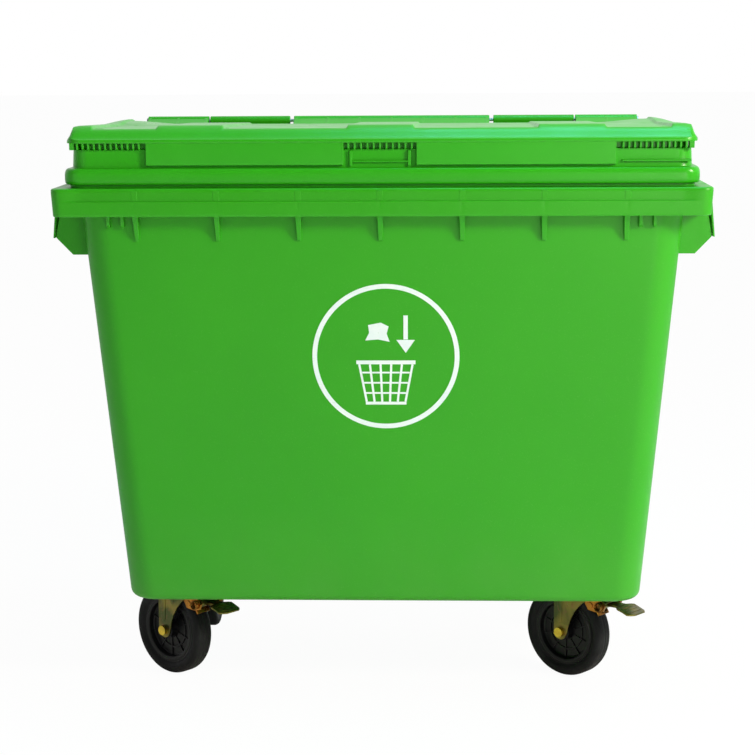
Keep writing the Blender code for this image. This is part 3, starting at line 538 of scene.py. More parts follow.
ribs = bmesh.new()
for x in GUSSET_X:
    top, point = RIM_TOP - 0.004, RIM_BOTTOM - GUSSET_DROP
    outline = [(front_y(top) + 0.002, top, 0.0), (RIM_FRONT + 0.003, top, 0.0),
               (RIM_FRONT + 0.003, RIM_BOTTOM + 0.004, 0.0),
               (front_y(RIM_BOTTOM) - 0.018, RIM_BOTTOM - 0.006, 0.35),
               (front_y(RIM_BOTTOM) - 0.010, RIM_BOTTOM - 0.026, 0.7),
               (front_y(point) - 0.005, point + 0.006, 0.95),
               (front_y(point) - 0.003, point + 0.001, 1.0),
               (front_y(point) + 0.003, point, 1.0)]
    join(ribs, tongue(x, outline, GUSSET_ROOT, GUSSET_TIP))
for x in SHORT_RIBS:
    for side in (-1, 1):
        point = RIM_BOTTOM - SHORT_DROP
        outline = [(front_y(SHORT_TOP) + 0.002, SHORT_TOP, 0.0),
                   (RIM_FRONT + 0.012, SHORT_TOP, 0.0), (RIM_FRONT + 0.013, RIM_BOTTOM, 0.0),
                   (front_y(point) - 0.012, point + 0.005, 0.6),
                   (front_y(point) - 0.006, point, 1.0), (front_y(point) + 0.003, point, 1.0)]
        join(ribs, tongue(side * x, outline, *SHORT_HALVES))
gussets = finish_mesh("front_gussets", ribs, TUB_GREEN, bevel=0.0012)
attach(gussets, "root")


# ---- Side lifting guards ----
# Each side has four webs behind an outer flap that flares out of the rim's skirt. They shield
# the steel trunnion that the lorry's lifting arms hook under.
SIDES = ((-1, "left"), (1, "right"))
GUARD_FRONT = -0.270
GUARD_REAR = 0.130
TRUNNION_Y = -0.070
GUARD_WEBS = (GUARD_FRONT, TRUNNION_Y - 0.045, TRUNNION_Y + 0.045, GUARD_REAR)
GUARD_BOTTOM = 0.938
FLAP_BOTTOM = 0.973
GUARD_HALF = 0.685
WEB_HALF = 0.0025

for side, word in SIDES:
    parts = bmesh.new()
    web = [(side_x(1.070) - 0.002, 1.070), (0.664, 1.070), (0.670, RIM_BOTTOM),
           (0.680, FLAP_BOTTOM + 0.002), (0.677, FLAP_BOTTOM - 0.002),
           (GUARD_HALF - 0.040, GUARD_BOTTOM),
           (side_x(GUARD_BOTTOM) - 0.002, GUARD_BOTTOM)]
    for y in GUARD_WEBS:
        flat = [(side * a, b) for a, b in web]
        join(parts, bar(flat, y - WEB_HALF, y + WEB_HALF, "y"))
    flap = [(0.6665, 1.048), (0.670, 1.048), (0.679, 1.043), (GUARD_HALF, FLAP_BOTTOM),
            (0.6812, FLAP_BOTTOM), (0.6755, 1.034), (0.6665, 1.0385)]
    flat = [(side * a, b) for a, b in flap]
    join(parts, bar(flat, GUARD_FRONT - 0.006, GUARD_REAR + 0.006, "y"))
    guard = finish_mesh(f"lifting_guard_{word}", parts, TUB_GREEN, bevel=0.001)
    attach(guard, "root")


# ---- Push handles ----
# Two round grips on short arms behind the tub, moulded in one with it.
HANDLE_X = 0.400
HANDLE_Z = 0.982
HANDLE_Y = 0.360
HANDLE_R = 0.012
HANDLE_HALF = 0.085
ARM_HALF = 0.0085

for side, word in SIDES:
    x = side * HANDLE_X
    profile = [(-HANDLE_HALF, 0.0095), (-HANDLE_HALF + 0.0012, 0.0112),
               (-HANDLE_HALF + 0.003, HANDLE_R), (HANDLE_HALF - 0.003, HANDLE_R),
               (HANDLE_HALF - 0.0012, 0.0112), (HANDLE_HALF, 0.0095)]
    rings = [[Vector((x + t, HANDLE_Y + a, HANDLE_Z + b)) for a, b in disc(r)]
             for t, r in profile]
    parts = stack(rings)
    for end in (-1, 1):
        middle = x + end * (HANDLE_HALF - 0.012)
        root = rear_y(HANDLE_Z) - 0.003
        arm = [(root, -0.020), (root + 0.012, -0.013), (HANDLE_Y, -0.0098),
               (HANDLE_Y, 0.0098), (root + 0.012, 0.013), (root, 0.020)]
        join(parts, bar(shifted(arm, 0, HANDLE_Z), middle - ARM_HALF, middle + ARM_HALF, "x"))
    grip = finish_mesh(f"push_handle_{word}", parts, TUB_GREEN, bevel=0.0015)
    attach(grip, "root")


# ---- Hinge posts of the tub ----
# Two long barrels on posts behind the rim, bored for the steel hinge rods.
HINGE_Y = 0.374
HINGE_Z = 1.192
HINGE_R = 0.011
ROD_R = 0.004
MIDDLE_HALF = 0.23115
BODY_KNUCKLE = (0.24065, 0.43014)
OUTER_KNUCKLE = (0.43314, 0.57821)
RIB_HALF = 0.003


def barrel(low, high):
    """A moulded barrel on the hinge line with rounded ends and its rod bore."""
    ends = [(low, ROD_R + 0.0004), (low, HINGE_R - 0.0008), (low + 0.0008, HINGE_R),
            (high - 0.0008, HINGE_R), (high, HINGE_R - 0.0008), (high, ROD_R + 0.0004)]
    return stack([[Vector((t, HINGE_Y + a, HINGE_Z + b)) for a, b in disc(r, 36)]
                  for t, r in ends], looped=True)


POST_FRONT = RIM_REAR - 0.003
for side, word in SIDES:
    low, high = sorted((side * BODY_KNUCKLE[0], side * BODY_KNUCKLE[1]))
    parts = barrel(low, high)
    for k in range(5):
        x = low + 0.004 + (high - low - 0.008) * k / 4
        web = [(POST_FRONT, RIM_BOTTOM + 0.006), (HINGE_Y - 0.013, RIM_BOTTOM + 0.012),
               (HINGE_Y - 0.0045, 1.150), (HINGE_Y + 0.006, 1.184), (HINGE_Y - 0.004, 1.1935),
               (POST_FRONT + 0.004, 1.150), (POST_FRONT, 1.070)]
        join(parts, bar(web, x - RIB_HALF, x + RIB_HALF, "x"))
    plate = [(POST_FRONT + 0.001, RIM_BOTTOM + 0.008), (POST_FRONT + 0.006, RIM_BOTTOM + 0.008),
             (HINGE_Y - 0.013, 1.150), (HINGE_Y - 0.0045, 1.186), (HINGE_Y - 0.009, 1.190),
             (HINGE_Y - 0.018, 1.155), (POST_FRONT + 0.001, 1.085)]
    join(parts, bar(plate, low + 0.001, high - 0.001, "x"))
    post = finish_mesh(f"hinge_post_{word}", parts, TUB_GREEN, bevel=0.0009)
    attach(post, "root")


# ---- White wall sticker ----
# A 303 mm printed ring of white vinyl on the front wall, with a tapered lattice basket, a
# crumpled sheet over it and an arrow down. It lies 0.25 mm proud of the wall it follows.
STICKER_X = 0.009
STICKER_Z = 0.733
STICKER_RADII = (0.1417, 0.1514)
STICKER_PROUD = 0.00025
STICKER_THICK = 0.0002


def printed_vinyl():
    """White vinyl print, a little uneven in ink and gloss, with fine scuffs."""
    made, tree, place = blank("printed_white_vinyl")
    ink, tint = mottled(tree, place, 30.0, 4.0, "cfe3e6", "eef6f6")
    stretched = put(tree, "Mapping", {"Vector": place, "Rotation": (0.2, 0.9, 0.1),
                                      "Scale": (20.0, 20.0, 300.0)})
    worn = spotted(tree, stretched, 2.0, 2.0, (0.64, 0.70), 0.25, tint, "9dc6a0")
    gloss = put(tree, "MapRange", {"Value": ink, "To Min": 0.32, "To Max": 0.46})
    coat(tree, place, (900.0, 2.0), 0.05, 0.0004, Base_Color=worn, Roughness=gloss)
    return made


def on_wall(x, z, proud):
    """The point of the front wall at x and z, raised off it."""
    return Vector((STICKER_X + x, front_y(z) + wall_bow(STICKER_X + x, z) - proud, z))


def sticker_band(points_in, points_out, closed):
    """A thin band between two flat (x, z) lines, lying on the wall."""
    bm = bmesh.new()
    under = STICKER_PROUD - STICKER_THICK
    rows = [[bm.verts.new(on_wall(x, z, proud)) for x, z in line]
            for line, proud in ((points_in, STICKER_PROUD), (points_out, STICKER_PROUD),
                                (points_out, under), (points_in, under))]
    quads(bm, rows + rows[:1], closed)
    if not closed:
        for end in (0, -1):
            bm.faces.new([row[end] for row in rows])
    return bm


def stroke(start, end, width):
    """A straight printed line between two flat points, in steps of about 12 mm."""
    (ax, az), (bx, bz) = start, end
    length = hypot(bx - ax, bz - az)
    nx, nz = -(bz - az) / length * width / 2, (bx - ax) / length * width / 2
    steps = max(1, int(length / 0.012))
    spots = [(ax + (bx - ax) * i / steps, az + (bz - az) * i / steps) for i in range(steps + 1)]
    return sticker_band([(x - nx, z - nz) for x, z in spots],
                        [(x + nx, z + nz) for x, z in spots], closed=False)


def sheet_of(outline):
    """A filled printed patch, spread from near its middle to its outline."""
    cx = sum(p[0] for p in outline) / len(outline)
    cz = sum(p[1] for p in outline) / len(outline)
    return sticker_band([(cx + (x - cx) * 0.02, cz + (z - cz) * 0.02) for x, z in outline],
                        outline, closed=True)


angles = [radians(3 * i) for i in range(120)]
ring_in, ring_out = ([(r * cos(a), STICKER_Z + r * sin(a)) for a in angles]
                     for r in STICKER_RADII)
print_parts = sticker_band(ring_in, ring_out, closed=True)
BASKET_TOP, BASKET_FOOT = STICKER_Z - 0.012, STICKER_Z - 0.098
BASKET_HALF_TOP, BASKET_HALF_FOOT = 0.055, 0.040
rim_end, foot_end = BASKET_HALF_TOP + 0.006, BASKET_HALF_FOOT + 0.002
join(print_parts, stroke((-rim_end, BASKET_TOP), (rim_end, BASKET_TOP), 0.008),
     stroke((-foot_end, BASKET_FOOT), (foot_end, BASKET_FOOT), 0.006))
for k in range(6):
    share = -1 + 2 * k / 5
    join(print_parts, stroke((share * BASKET_HALF_TOP, BASKET_TOP - 0.0042),
                             (share * BASKET_HALF_FOOT, BASKET_FOOT + 0.0032), 0.0045))
for k in range(1, 4):
    level = BASKET_TOP + (BASKET_FOOT - BASKET_TOP) * k / 4
    half = BASKET_HALF_TOP + (BASKET_HALF_FOOT - BASKET_HALF_TOP) * k / 4
    for j in range(5):
        gap = 2 * half / 5
        join(print_parts, stroke((-half + gap * j + 0.0024, level),
                                 (-half + gap * (j + 1) - 0.0024, level), 0.0036))
crumple = [(-0.042, 0.034), (-0.034, 0.050), (-0.036, 0.066), (-0.010, 0.071), (0.006, 0.063),
           (0.002, 0.048), (0.008, 0.031), (-0.016, 0.036)]
ARROW_X = 0.041
tip = [(ARROW_X, 0.008), (ARROW_X + 0.019, 0.035), (ARROW_X - 0.019, 0.035)]
join(print_parts, sheet_of(shifted(crumple, 0, STICKER_Z)),
     stroke((ARROW_X, STICKER_Z + 0.086), (ARROW_X, STICKER_Z + 0.036), 0.009),
     sheet_of(shifted(tip, 0, STICKER_Z)))
sticker = finish_mesh("wall_sticker", print_parts, printed_vinyl(), sharp=60)
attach(sticker, "root")


# ---- Lid shell ----
# One moulded HDPE shell, 125 mm high, on a rounded bead 39 mm deep. Its front is set back under a
# grooved lip with two flush boxes, three combs and their recesses. The top falls to the rear and
# carries a middle ridge, two side ridges and one along either edge.
LID_BASE = 1.0823
LID_HALF = 0.645
LID_FRONT = -0.366
LID_REAR = 0.331
LID_CORNER = 0.035
BEAD_HIGH = 0.039
BEAD_ROUND = 0.006
BEAD_FALL = 0.0132
WALL_IN = 0.0165
GROOVE_IN = 0.0225
LIP_IN = 0.006
LIP_Z = LID_BASE + 0.090
LIP_HIGH = 0.007
PLATEAU = LID_BASE + 0.118
LID_FALL = 0.0115
TOP_FRONT = -0.332
TOP_REAR = 0.256
RIDGE_HIGH = (0.007, 0.0035)
RIDGE_FOOT = 0.006
RIDGES = ((0.0, 0.065), (-0.3877, 0.065), (0.3877, 0.065), (-0.6105, 0.0195), (0.6105, 0.0195))
DOME = 0.009
EDGE_X = LID_HALF - LIP_IN
LID_MIDDLE_Y = (LID_FRONT + LID_REAR) / 2
LID_HALF_Y = (LID_REAR - LID_FRONT) / 2
INNER_IN = 0.0272
ROOF_THICK = 0.006


def lid_top(x, y):
    """Height of the lid's top at a place."""
    along = min(1.0, max(0.0, (y - TOP_FRONT) / (TOP_REAR - TOP_FRONT)))
    level = PLATEAU - LID_FALL * along
    high = RIDGE_HIGH[0] + (RIDGE_HIGH[1] - RIDGE_HIGH[0]) * along
    crest = max(1 - ramp(abs(x - m), half, half + RIDGE_FOOT) for m, half in RIDGES)
    ends = (ramp(y, TOP_FRONT - 0.004, TOP_FRONT + 0.010)
            * (1 - ramp(y, TOP_REAR - 0.03, TOP_REAR)))
    panel = ramp(abs(x), 0.455, 0.590) * (1 - ramp(abs(x), 0.590, 0.632) * 0.7)
    swell = DOME * panel * ramp(y, -0.02, 0.16) * (1 - ramp(y, 0.20, 0.30))
    top = level + high * crest * ends + swell
    front = ramp(y, LID_FRONT + LIP_IN, TOP_FRONT)
    rear = 1 - ramp(y, TOP_REAR, LID_REAR - LIP_IN - 0.004)
    side = 1 - ramp(abs(x), EDGE_X - 0.014, EDGE_X)
    lip_top = LIP_Z + LIP_HIGH
    return lip_top + (top - lip_top) * front * rear * side


def lid_columns():
    """Places across the lid as shares of its half width, closer together at ridge flanks."""
    places = {round(-1 + 2 * i / 110, 5) for i in range(111)}
    for middle, half in RIDGES:
        for end in (-1, 1):
            for step in range(5):
                x = middle + end * (half + RIDGE_FOOT * step / 4)
                if abs(x) < EDGE_X - 0.004:
                    places.add(round(x / EDGE_X, 5))
    return thinned(places, 0.0012)


LID_COLUMNS = lid_columns()
LID_ROWS = [0.5 - 0.5 * cos(pi * i / 64) for i in range(65)]


def lid_sheet(inset):
    """The top as a grid: rows of points inside the lip line, pulled in at the corners."""
    half, front, rear = LID_HALF - inset, LID_FRONT + inset, LID_REAR - inset
    radius = LID_CORNER - inset * 0.5
    rows = []
    for v in LID_ROWS:
        y = front + (rear - front) * v
        reach = min(y - front, rear - y)
        short = max(0.0, radius - reach)
        width = half - radius + sqrt(max(0.0, radius * radius - short * short))
        rows.append([Vector((u * width, y, lid_top(u * width, y))) for u in LID_COLUMNS])
    return rows


def rim_of(rows):
    """The outline of a grid, anticlockwise from above."""
    return (rows[0] + [row[-1] for row in rows[1:-1]] + rows[-1][::-1]
            + [row[0] for row in rows[-2:0:-1]])


def spread(outline, grow, z):
    """An outline moved outwards level by level: x and y scaled about the lid's middle."""
    wide = (LID_HALF + grow) / EDGE_X
    deep = (LID_HALF_Y + grow) / (LID_HALF_Y - LIP_IN)
    return [Vector((p.x * wide, LID_MIDDLE_Y + (p.y - LID_MIDDLE_Y) * deep, z))
            for p in outline]


def lid_shell():
    """The top grid, then rings down the outer wall, under the bead and up the inner wall to
    the inner face of the top."""
    bm = bmesh.new()

    def grid(rows):
        made = [[bm.verts.new(p) for p in row] for row in rows]
        quads(bm, made, closed=False)
        return made

    outer = lid_sheet(LIP_IN)
    top_line = rim_of(outer)
    bead_top = LID_BASE + BEAD_HIGH
    inner_roof = LIP_Z - 0.002
    levels = [(-LIP_IN + 0.0006, LIP_Z + LIP_HIGH - 0.0016), (-LIP_IN + 0.0008, LIP_Z + 0.001),
              (-LIP_IN + 0.0002, LIP_Z), (-GROOVE_IN + 0.001, LIP_Z - 0.0006),
              (-GROOVE_IN, LIP_Z - 0.0016), (-GROOVE_IN, LIP_Z - 0.012),
              (-GROOVE_IN + 0.001, LIP_Z - 0.013), (-WALL_IN - 0.001, LIP_Z - 0.013),
              (-WALL_IN, LIP_Z - 0.014), (-WALL_IN + 0.0005, LIP_Z - 0.024),
              (-WALL_IN + 0.0015, bead_top + 0.004), (-WALL_IN + 0.0022, bead_top + 0.0012),
              (-WALL_IN + 0.0042, bead_top)]
    for down, left in quarter(6):
        levels.append((-BEAD_ROUND * left, bead_top - BEAD_FALL * down))
    levels += [(0.0, LID_BASE + 0.016), (-0.0008, LID_BASE + 0.0098),
               (-0.0026, LID_BASE + 0.0072), (-0.006, LID_BASE + 0.0062),
               (-0.009, LID_BASE + 0.0056), (-0.0094, LID_BASE + 0.0006),
               (-0.010, LID_BASE), (-0.0132, LID_BASE), (-0.014, LID_BASE + 0.001),
               (-0.0205, LID_BASE + 0.030), (-0.0235, bead_top + 0.006),
               (-0.0262, inner_roof - 0.022), (-INNER_IN, inner_roof - 0.004)]
    walls = [[bm.verts.new(p) for p in spread(top_line, grow, z)] for grow, z in levels]
    inner = [spread(row, -INNER_IN, 0.0) for row in outer]
    for row, above in zip(inner, outer):
        for p, q in zip(row, above):
            p.z = q.z - ROOF_THICK
    for p in rim_of(inner):
        p.z = inner_roof - 0.004
    inner_line = rim_of(grid(inner[::-1])[::-1])
    quads(bm, [inner_line] + walls[::-1] + [rim_of(grid(outer))])
    return bm


BOX_X = (0.0735, 0.4747)
BOX_FRONT = -0.3595
BOX_TOP = LIP_Z + 0.0015
BOX_FOOT = LID_BASE + 0.045
COMBS = ((-0.615, -0.489, 12), (-0.064, 0.064, 11), (0.489, 0.615, 12))
TOOTH_HALF = 0.0021
COMB_END = 0.6262
RECESS_POST = 0.059
SHELVES = ((-0.056, 0.056), (0.487, 0.6255))

lid = finish_mesh("lid_shell", lid_shell(), LID_GREEN, sharp=38)
front_parts = bmesh.new()
for side in (-1, 1):
    face = [(BOX_FRONT + 0.019, BOX_FOOT - 0.003), (BOX_FRONT + 0.0006, BOX_FOOT),
            (BOX_FRONT, BOX_FOOT + 0.004), (BOX_FRONT, BOX_TOP), (BOX_FRONT + 0.019, BOX_TOP)]
    join(front_parts, bar(face, side * BOX_X[0], side * BOX_X[1], "x"))
for low, high, count in COMBS:
    for k in range(count):
        x = low + (high - low) * k / (count - 1)
        tooth = [(0.008, 0.001), (0.008, -0.004), (0.0105, -0.012), (0.014, -0.014),
                 (GROOVE_IN + 0.001, -0.014), (GROOVE_IN + 0.001, 0.001)]
        tooth = shifted(tooth, LID_FRONT, LIP_Z)
        join(front_parts, bar(tooth, x - TOOTH_HALF, x + TOOTH_HALF, "x"))
for middle in (-COMB_END, COMB_END):
    block = [(0.010, 0.001), (0.012, -0.0136), (0.040, -0.0136), (0.040, 0.001)]
    block = shifted(block, LID_FRONT, LIP_Z)
    join(front_parts, bar(block, middle - 0.005, middle + 0.005, "x"))
# Posts beside the middle recess, and the shelves of the middle and right ones.
recess_back = LID_FRONT + WALL_IN + 0.002
for x in (-RECESS_POST, RECESS_POST):
    post = [(LID_FRONT + 0.010, LIP_Z - 0.016), (LID_FRONT + 0.010, BOX_FOOT - 0.002),
            (recess_back, BOX_FOOT - 0.002), (recess_back, LIP_Z - 0.016)]
    join(front_parts, bar(post, x - 0.003, x + 0.003, "x"))
for low, high in SHELVES:
    shelf = [(LID_FRONT + 0.0098, BOX_FOOT + 0.0085), (LID_FRONT + 0.0098, BOX_FOOT + 0.0055),
             (recess_back, BOX_FOOT + 0.0045), (recess_back, BOX_FOOT + 0.010)]
    join(front_parts, bar(shelf, low, high, "x"))
front_detail = finish_mesh("lid_front_boxes", front_parts, LID_GREEN, bevel=0.001)
for piece in (lid, front_detail):
    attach(piece, "lid")
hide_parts("lid")


# ---- Lid hinge knuckles ----
# A middle and two outer barrels stand on webs behind the lid's rear wall, turning between the
# tub's barrels on the same rods.
knuckles = bmesh.new()
spans = [(-MIDDLE_HALF, MIDDLE_HALF), (-OUTER_KNUCKLE[1], -OUTER_KNUCKLE[0]), OUTER_KNUCKLE]
for low, high in spans:
    join(knuckles, barrel(low, high))
    count = 7 if high - low > 0.2 else 3
    for k in range(count):
        x = low + 0.006 + (high - low - 0.012) * k / (count - 1)
        arm = [(LID_REAR - 0.020, LIP_Z - 0.010), (HINGE_Y - 0.006, HINGE_Z - 0.0045),
               (HINGE_Y - 0.006, HINGE_Z + 0.0082), (LID_REAR - 0.016, LIP_Z + 0.0048),
               (LID_REAR - 0.024, LIP_Z + 0.004)]
        join(knuckles, bar(arm, x - RIB_HALF, x + RIB_HALF, "x"))
    strap = [(LID_REAR - 0.019, LIP_Z - 0.001), (HINGE_Y - 0.006, HINGE_Z + 0.001),
             (HINGE_Y - 0.006, HINGE_Z + 0.007), (LID_REAR - 0.019, LIP_Z + 0.0045)]
    join(knuckles, bar(strap, low + 0.0005, high - 0.0005, "x"))
lid_knuckles = finish_mesh("lid_hinge_knuckles", knuckles, LID_GREEN, bevel=0.0008)
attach(lid_knuckles, "lid")


# ---- Casters ----
# Four swivelling steel casters with 200 mm rubber-tyred wheels trail 45 mm behind their swivel
# axes. The front two are turned 39.5 degrees and carry a foot brake; the rear two point forward.
WHEEL_R = 0.100
WHEEL_HALF = 0.023
HUB_R = 0.0755
HUB_SEAT = 0.018
AXLE_Z = 0.100
TRAIL = 0.045
LEG_GAP = 0.0265
LEG_OUT = 0.0305
LEG_HEAD = (-0.062, 0.056)
CROWN_TOP = 0.2314
CROWN_THICK = 0.005
CROWN_R = 0.038
PEDAL_AXIS = (0.060, 0.176)
SHOE_AXIS = (0.040, 0.2035)
HEADINGS = {"front_left": -39.5, "front_right": -39.5, "rear_left": -90.0, "rear_right": -90.0}


def tyre_rubber():
    """Black moulded rubber: dull, greyer where it has rolled, with grit under 2 mm."""
    made, tree, place = blank("black_tyre_rubber")
    scuff, tint = mottled(tree, place, 55.0, 6.0, "060607", "131316")
    dusty = spotted(tree, place, 18.0, 5.0, (0.50, 0.80), 0.14, tint, "55525a")
    rough = put(tree, "MapRange", {"Value": scuff, "To Min": 0.48, "To Max": 0.72})
    coat(tree, place, (700.0, 3.0), 0.25, 0.0006, Base_Color=dusty, Roughness=rough,
         Specular_IOR_Level=0.2)
    return made


def black_polypropylene():
    """Black moulded polypropylene hub: satin, slightly blue, with a fine spark texture."""
    made, tree, place = blank("black_polypropylene")
    cloud, tint = mottled(tree, place, 40.0, 5.0, "070708", "101013")
    rough = put(tree, "MapRange", {"Value": cloud, "To Min": 0.30, "To Max": 0.48})
    coat(tree, place, (1400.0, 2.0), 0.12, 0.0003, Base_Color=tint, Roughness=rough,
         Specular_IOR_Level=0.25)
    return made


def passivated_zinc(name, gold, olive, rose, roughness):
    """Zinc-plated pressed steel whose passivated film drifts in tint in clouds of 20 to 60 mm."""
    made, tree, place = blank(name)
    drift = put(tree, "TexNoise", {"Vector": place, "Scale": 18.0, "Detail": 2.0,
                                   "Distortion": 0.8})
    share = put(tree, "MapRange", {"Value": drift, "From Min": 0.40, "From Max": 0.58})
    tint = put(tree, "Mix", {"Factor": share, "A": linear(olive), "B": linear(gold)},
               data_type="RGBA")
    colour = spotted(tree, place, 58.0, 3.0, (0.52, 0.70), 0.45, tint, rose, Distortion=2.0)
    rough = put(tree, "MapRange", {"Value": drift, "To Min": roughness - 0.08,
                                   "To Max": roughness + 0.10})
    coat(tree, place, (900.0, 2.0), 0.10, 0.0003, Base_Color=colour, Roughness=rough,
         Metallic=0.9)
    return made


RUBBER = tyre_rubber()
HUB_BLACK = black_polypropylene()
YELLOW_ZINC = passivated_zinc("yellow_passivated_zinc", "80763a", "4c5430", "8a5648", 0.30)
GOLD_ZINC = passivated_zinc("gold_passivated_zinc", "d9bf45", "a8923a", "c8903c", 0.22)
COPPER_ZINC = passivated_zinc("iridescent_passivated_zinc", "b0762e", "4e3c1c", "8a3620", 0.22)
BRIGHT_ZINC = passivated_zinc("bright_zinc_plate", "c9cccd", "a9adb0", "b7c0cc", 0.30)


def spun(profile, sides=96):
    """A closed profile of (radius, y) turned about the Y axis."""
    return stack([[(a, y, b) for a, b in disc(radius, sides)] for radius, y in profile],
                 looped=True)


def tyre_form():
    """Tyre with round shoulders, a side bead line and three fine grooves round its tread."""
    side = [(HUB_R + 0.0004, HUB_SEAT), (HUB_R + 0.003, HUB_SEAT + 0.001),
            (HUB_R + 0.005, HUB_SEAT + 0.003), (0.0835, 0.0222), (0.087, WHEEL_HALF),
            (0.089, WHEEL_HALF - 0.0001), (0.0925, 0.0224), (0.0955, 0.0208), (0.0975, 0.0187),
            (0.099, 0.016), (0.0997, 0.0135)]
    tread = []
    for middle in (0.009, 0.0, -0.009):
        for shift, depth in ((0.0012, 0.0), (0.0005, 0.0005), (-0.0005, 0.0005), (-0.0012, 0.0)):
            tread.append((WHEEL_R - depth, middle + shift))
    return spun(side + tread + [(r, -y) for r, y in side[::-1]])


def hub_form():
    """Hub: dished web with two raised rings on either face, and ten stiffening ribs."""
    rib = [(0.018, -0.0011), (0.063, -0.0011), (0.063, 0.0011), (0.018, 0.0011)]
    half = [(0.0064, 0.0255), (0.017, 0.0255), (0.0185, 0.0243), (0.0195, 0.012),
            (0.0215, 0.0072), (0.040, 0.006), (0.0408, 0.0082), (0.044, 0.0082),
            (0.0448, 0.006), (0.0585, 0.006), (0.0608, 0.0075), (0.0622, 0.015),
            (0.0632, 0.0176), (0.0655, 0.0186), (0.070, 0.0186), (0.071, 0.0176),
            (0.0735, 0.0176), (0.0742, 0.018), (0.0752, 0.018)]
    made = spun(half + [(r, -y) for r, y in half[::-1]])
    for side in (-1, 1):
        for k in range(10):
            one = bar(rib, side * 0.005, side * 0.0088, "y")
            turned = Matrix.Rotation(radians(36 * k + 18), 4, "Y")
            bmesh.ops.transform(one, matrix=turned, verts=one.verts)
            join(made, one)
    return made


def fork_form():
    """Two pressed legs under a round crown, each with a raised channel and a rivet."""
    outline = arc((-TRAIL, AXLE_Z), 0.017, 180, 150, 18)
    outline += [(-0.0268, 0.101), (-0.0225, 0.118), (-0.015, 0.1375), (-0.003, 0.157),
                (0.013, 0.174), (0.030, 0.1875), (0.046, 0.1985)]
    rear, front = LEG_HEAD
    outline += [(front, CROWN_TOP - 0.022), (front - 0.002, CROWN_TOP - 0.010),
                (front - 0.010, CROWN_TOP - 0.001), (rear + 0.010, CROWN_TOP - 0.001),
                (rear + 0.0025, CROWN_TOP - 0.008), (rear, CROWN_TOP - 0.018)]
    made = bar(outline, LEG_GAP, LEG_OUT, "y")
    join(made, bar(outline, -LEG_OUT, -LEG_GAP, "y"))
    web = [(rear + 0.010, -LEG_OUT + 0.001), (front - 0.010, -LEG_OUT + 0.001),
           (front - 0.010, LEG_OUT - 0.001), (rear + 0.010, LEG_OUT - 0.001)]
    join(made, bar(web, CROWN_TOP - CROWN_THICK, CROWN_TOP - 0.0005, "z"))
    join(made, bar(disc(CROWN_R, 48), CROWN_TOP - CROWN_THICK, CROWN_TOP, "z"))
    for side in (-1, 1):
        for points, rise in (
                ([(-0.0505, 0.124), (-0.0455, 0.119), (-0.0405, 0.124), (-0.039, 0.210),
                  (-0.0455, 0.215), (-0.052, 0.210)], 0.0013),
                ([(-0.025, 0.166), (-0.019, 0.161), (-0.013, 0.166), (-0.006, 0.210),
                  (-0.013, 0.215), (-0.020, 0.210)], 0.001)):
            join(made, bar(points, side * (LEG_OUT - 0.001), side * (LEG_OUT + rise), "y"))
        rivet = disc(0.0045, 20, (0.006, 0.193))
        join(made, bar(rivet, side * (LEG_OUT - 0.001), side * (LEG_OUT + 0.0024), "y"))
    return made


def brake_housing_form():
    """Two folded cheek plates round the brake's pins, with a coiled return spring."""
    cheek = [(0.030, 0.164), (0.046, 0.162), (0.056, 0.162), (0.070, 0.166),
             (0.074, 0.178), (0.066, 0.189), (0.054, 0.200), (0.052, 0.216),
             (0.030, 0.216), (0.024, 0.196), (0.021, 0.178)]
    made = bmesh.new()
    for side in (-1, 1):
        join(made, bar(cheek, side * (LEG_GAP - 0.0005), side * (LEG_OUT + 0.0012), "y"))
        boss = disc(0.0098, 28, PEDAL_AXIS)
        join(made, bar(boss, side * LEG_OUT, side * (LEG_OUT + 0.0034), "y"))
        stud = disc(0.006, 24, (0.036, 0.175))
        join(made, bar(stud, side * LEG_OUT, side * (LEG_OUT + 0.0028), "y"))
        for k in range(3):
            turn = side * (LEG_OUT + 0.0046 + 0.0022 * k)
            coil = spun([(0.0082, -0.0009), (0.0092, -0.0009), (0.0096, 0.0), (0.0092, 0.0009),
                         (0.0082, 0.0009), (0.0078, 0.0)], 28)
            place = Matrix.Translation((PEDAL_AXIS[0], turn, PEDAL_AXIS[1]))
            bmesh.ops.transform(coil, matrix=place, verts=coil.verts)
            join(made, coil)
    return made


def pedal_form():
    """Cross barrel, arm and a bent tread plate with three raised grip bars and a lip."""
    px, pz = PEDAL_AXIS
    made = bar(disc(0.008, 28, PEDAL_AXIS), -0.020, 0.020, "y")
    arm = [(0.0, -0.002), (0.040, -0.001), (0.040, 0.004), (0.0, 0.004)]
    join(made, bar(shifted(arm, px, pz), -0.014, 0.014, "y"))
    side = [(0.037, 0.004), (0.040, 0.004), (0.064, 0.000), (0.086, -0.004),
            (0.0865, -0.007), (0.083, -0.007), (0.063, -0.0032), (0.037, 0.0006)]
    near, far, middle = -0.034, 0.026, 0.062
    rings = []
    for y, shrink in ((near, 0.016), (near + 0.004, 0.008), (near + 0.012, 0.0), (-0.010, 0.0),
                      (0.004, 0.0), (far - 0.012, 0.0), (far - 0.004, 0.008), (far, 0.016)):
        rings.append([Vector((px + middle + (a - middle) * (1 - shrink / 0.030), y, pz + b))
                      for a, b in side])
    join(made, stack(rings))
    for k in range(3):
        a = px + 0.052 + 0.011 * k
        lift = 0.004 - 0.008 * (0.012 + 0.011 * k) / 0.046
        grip = [(a - 0.002, pz + lift - 0.002), (a + 0.002, pz + lift - 0.002),
                (a + 0.0014, pz + lift + 0.0009), (a - 0.0014, pz + lift + 0.0011)]
        join(made, bar(grip, near + 0.010, far - 0.010, "y"))
    return made


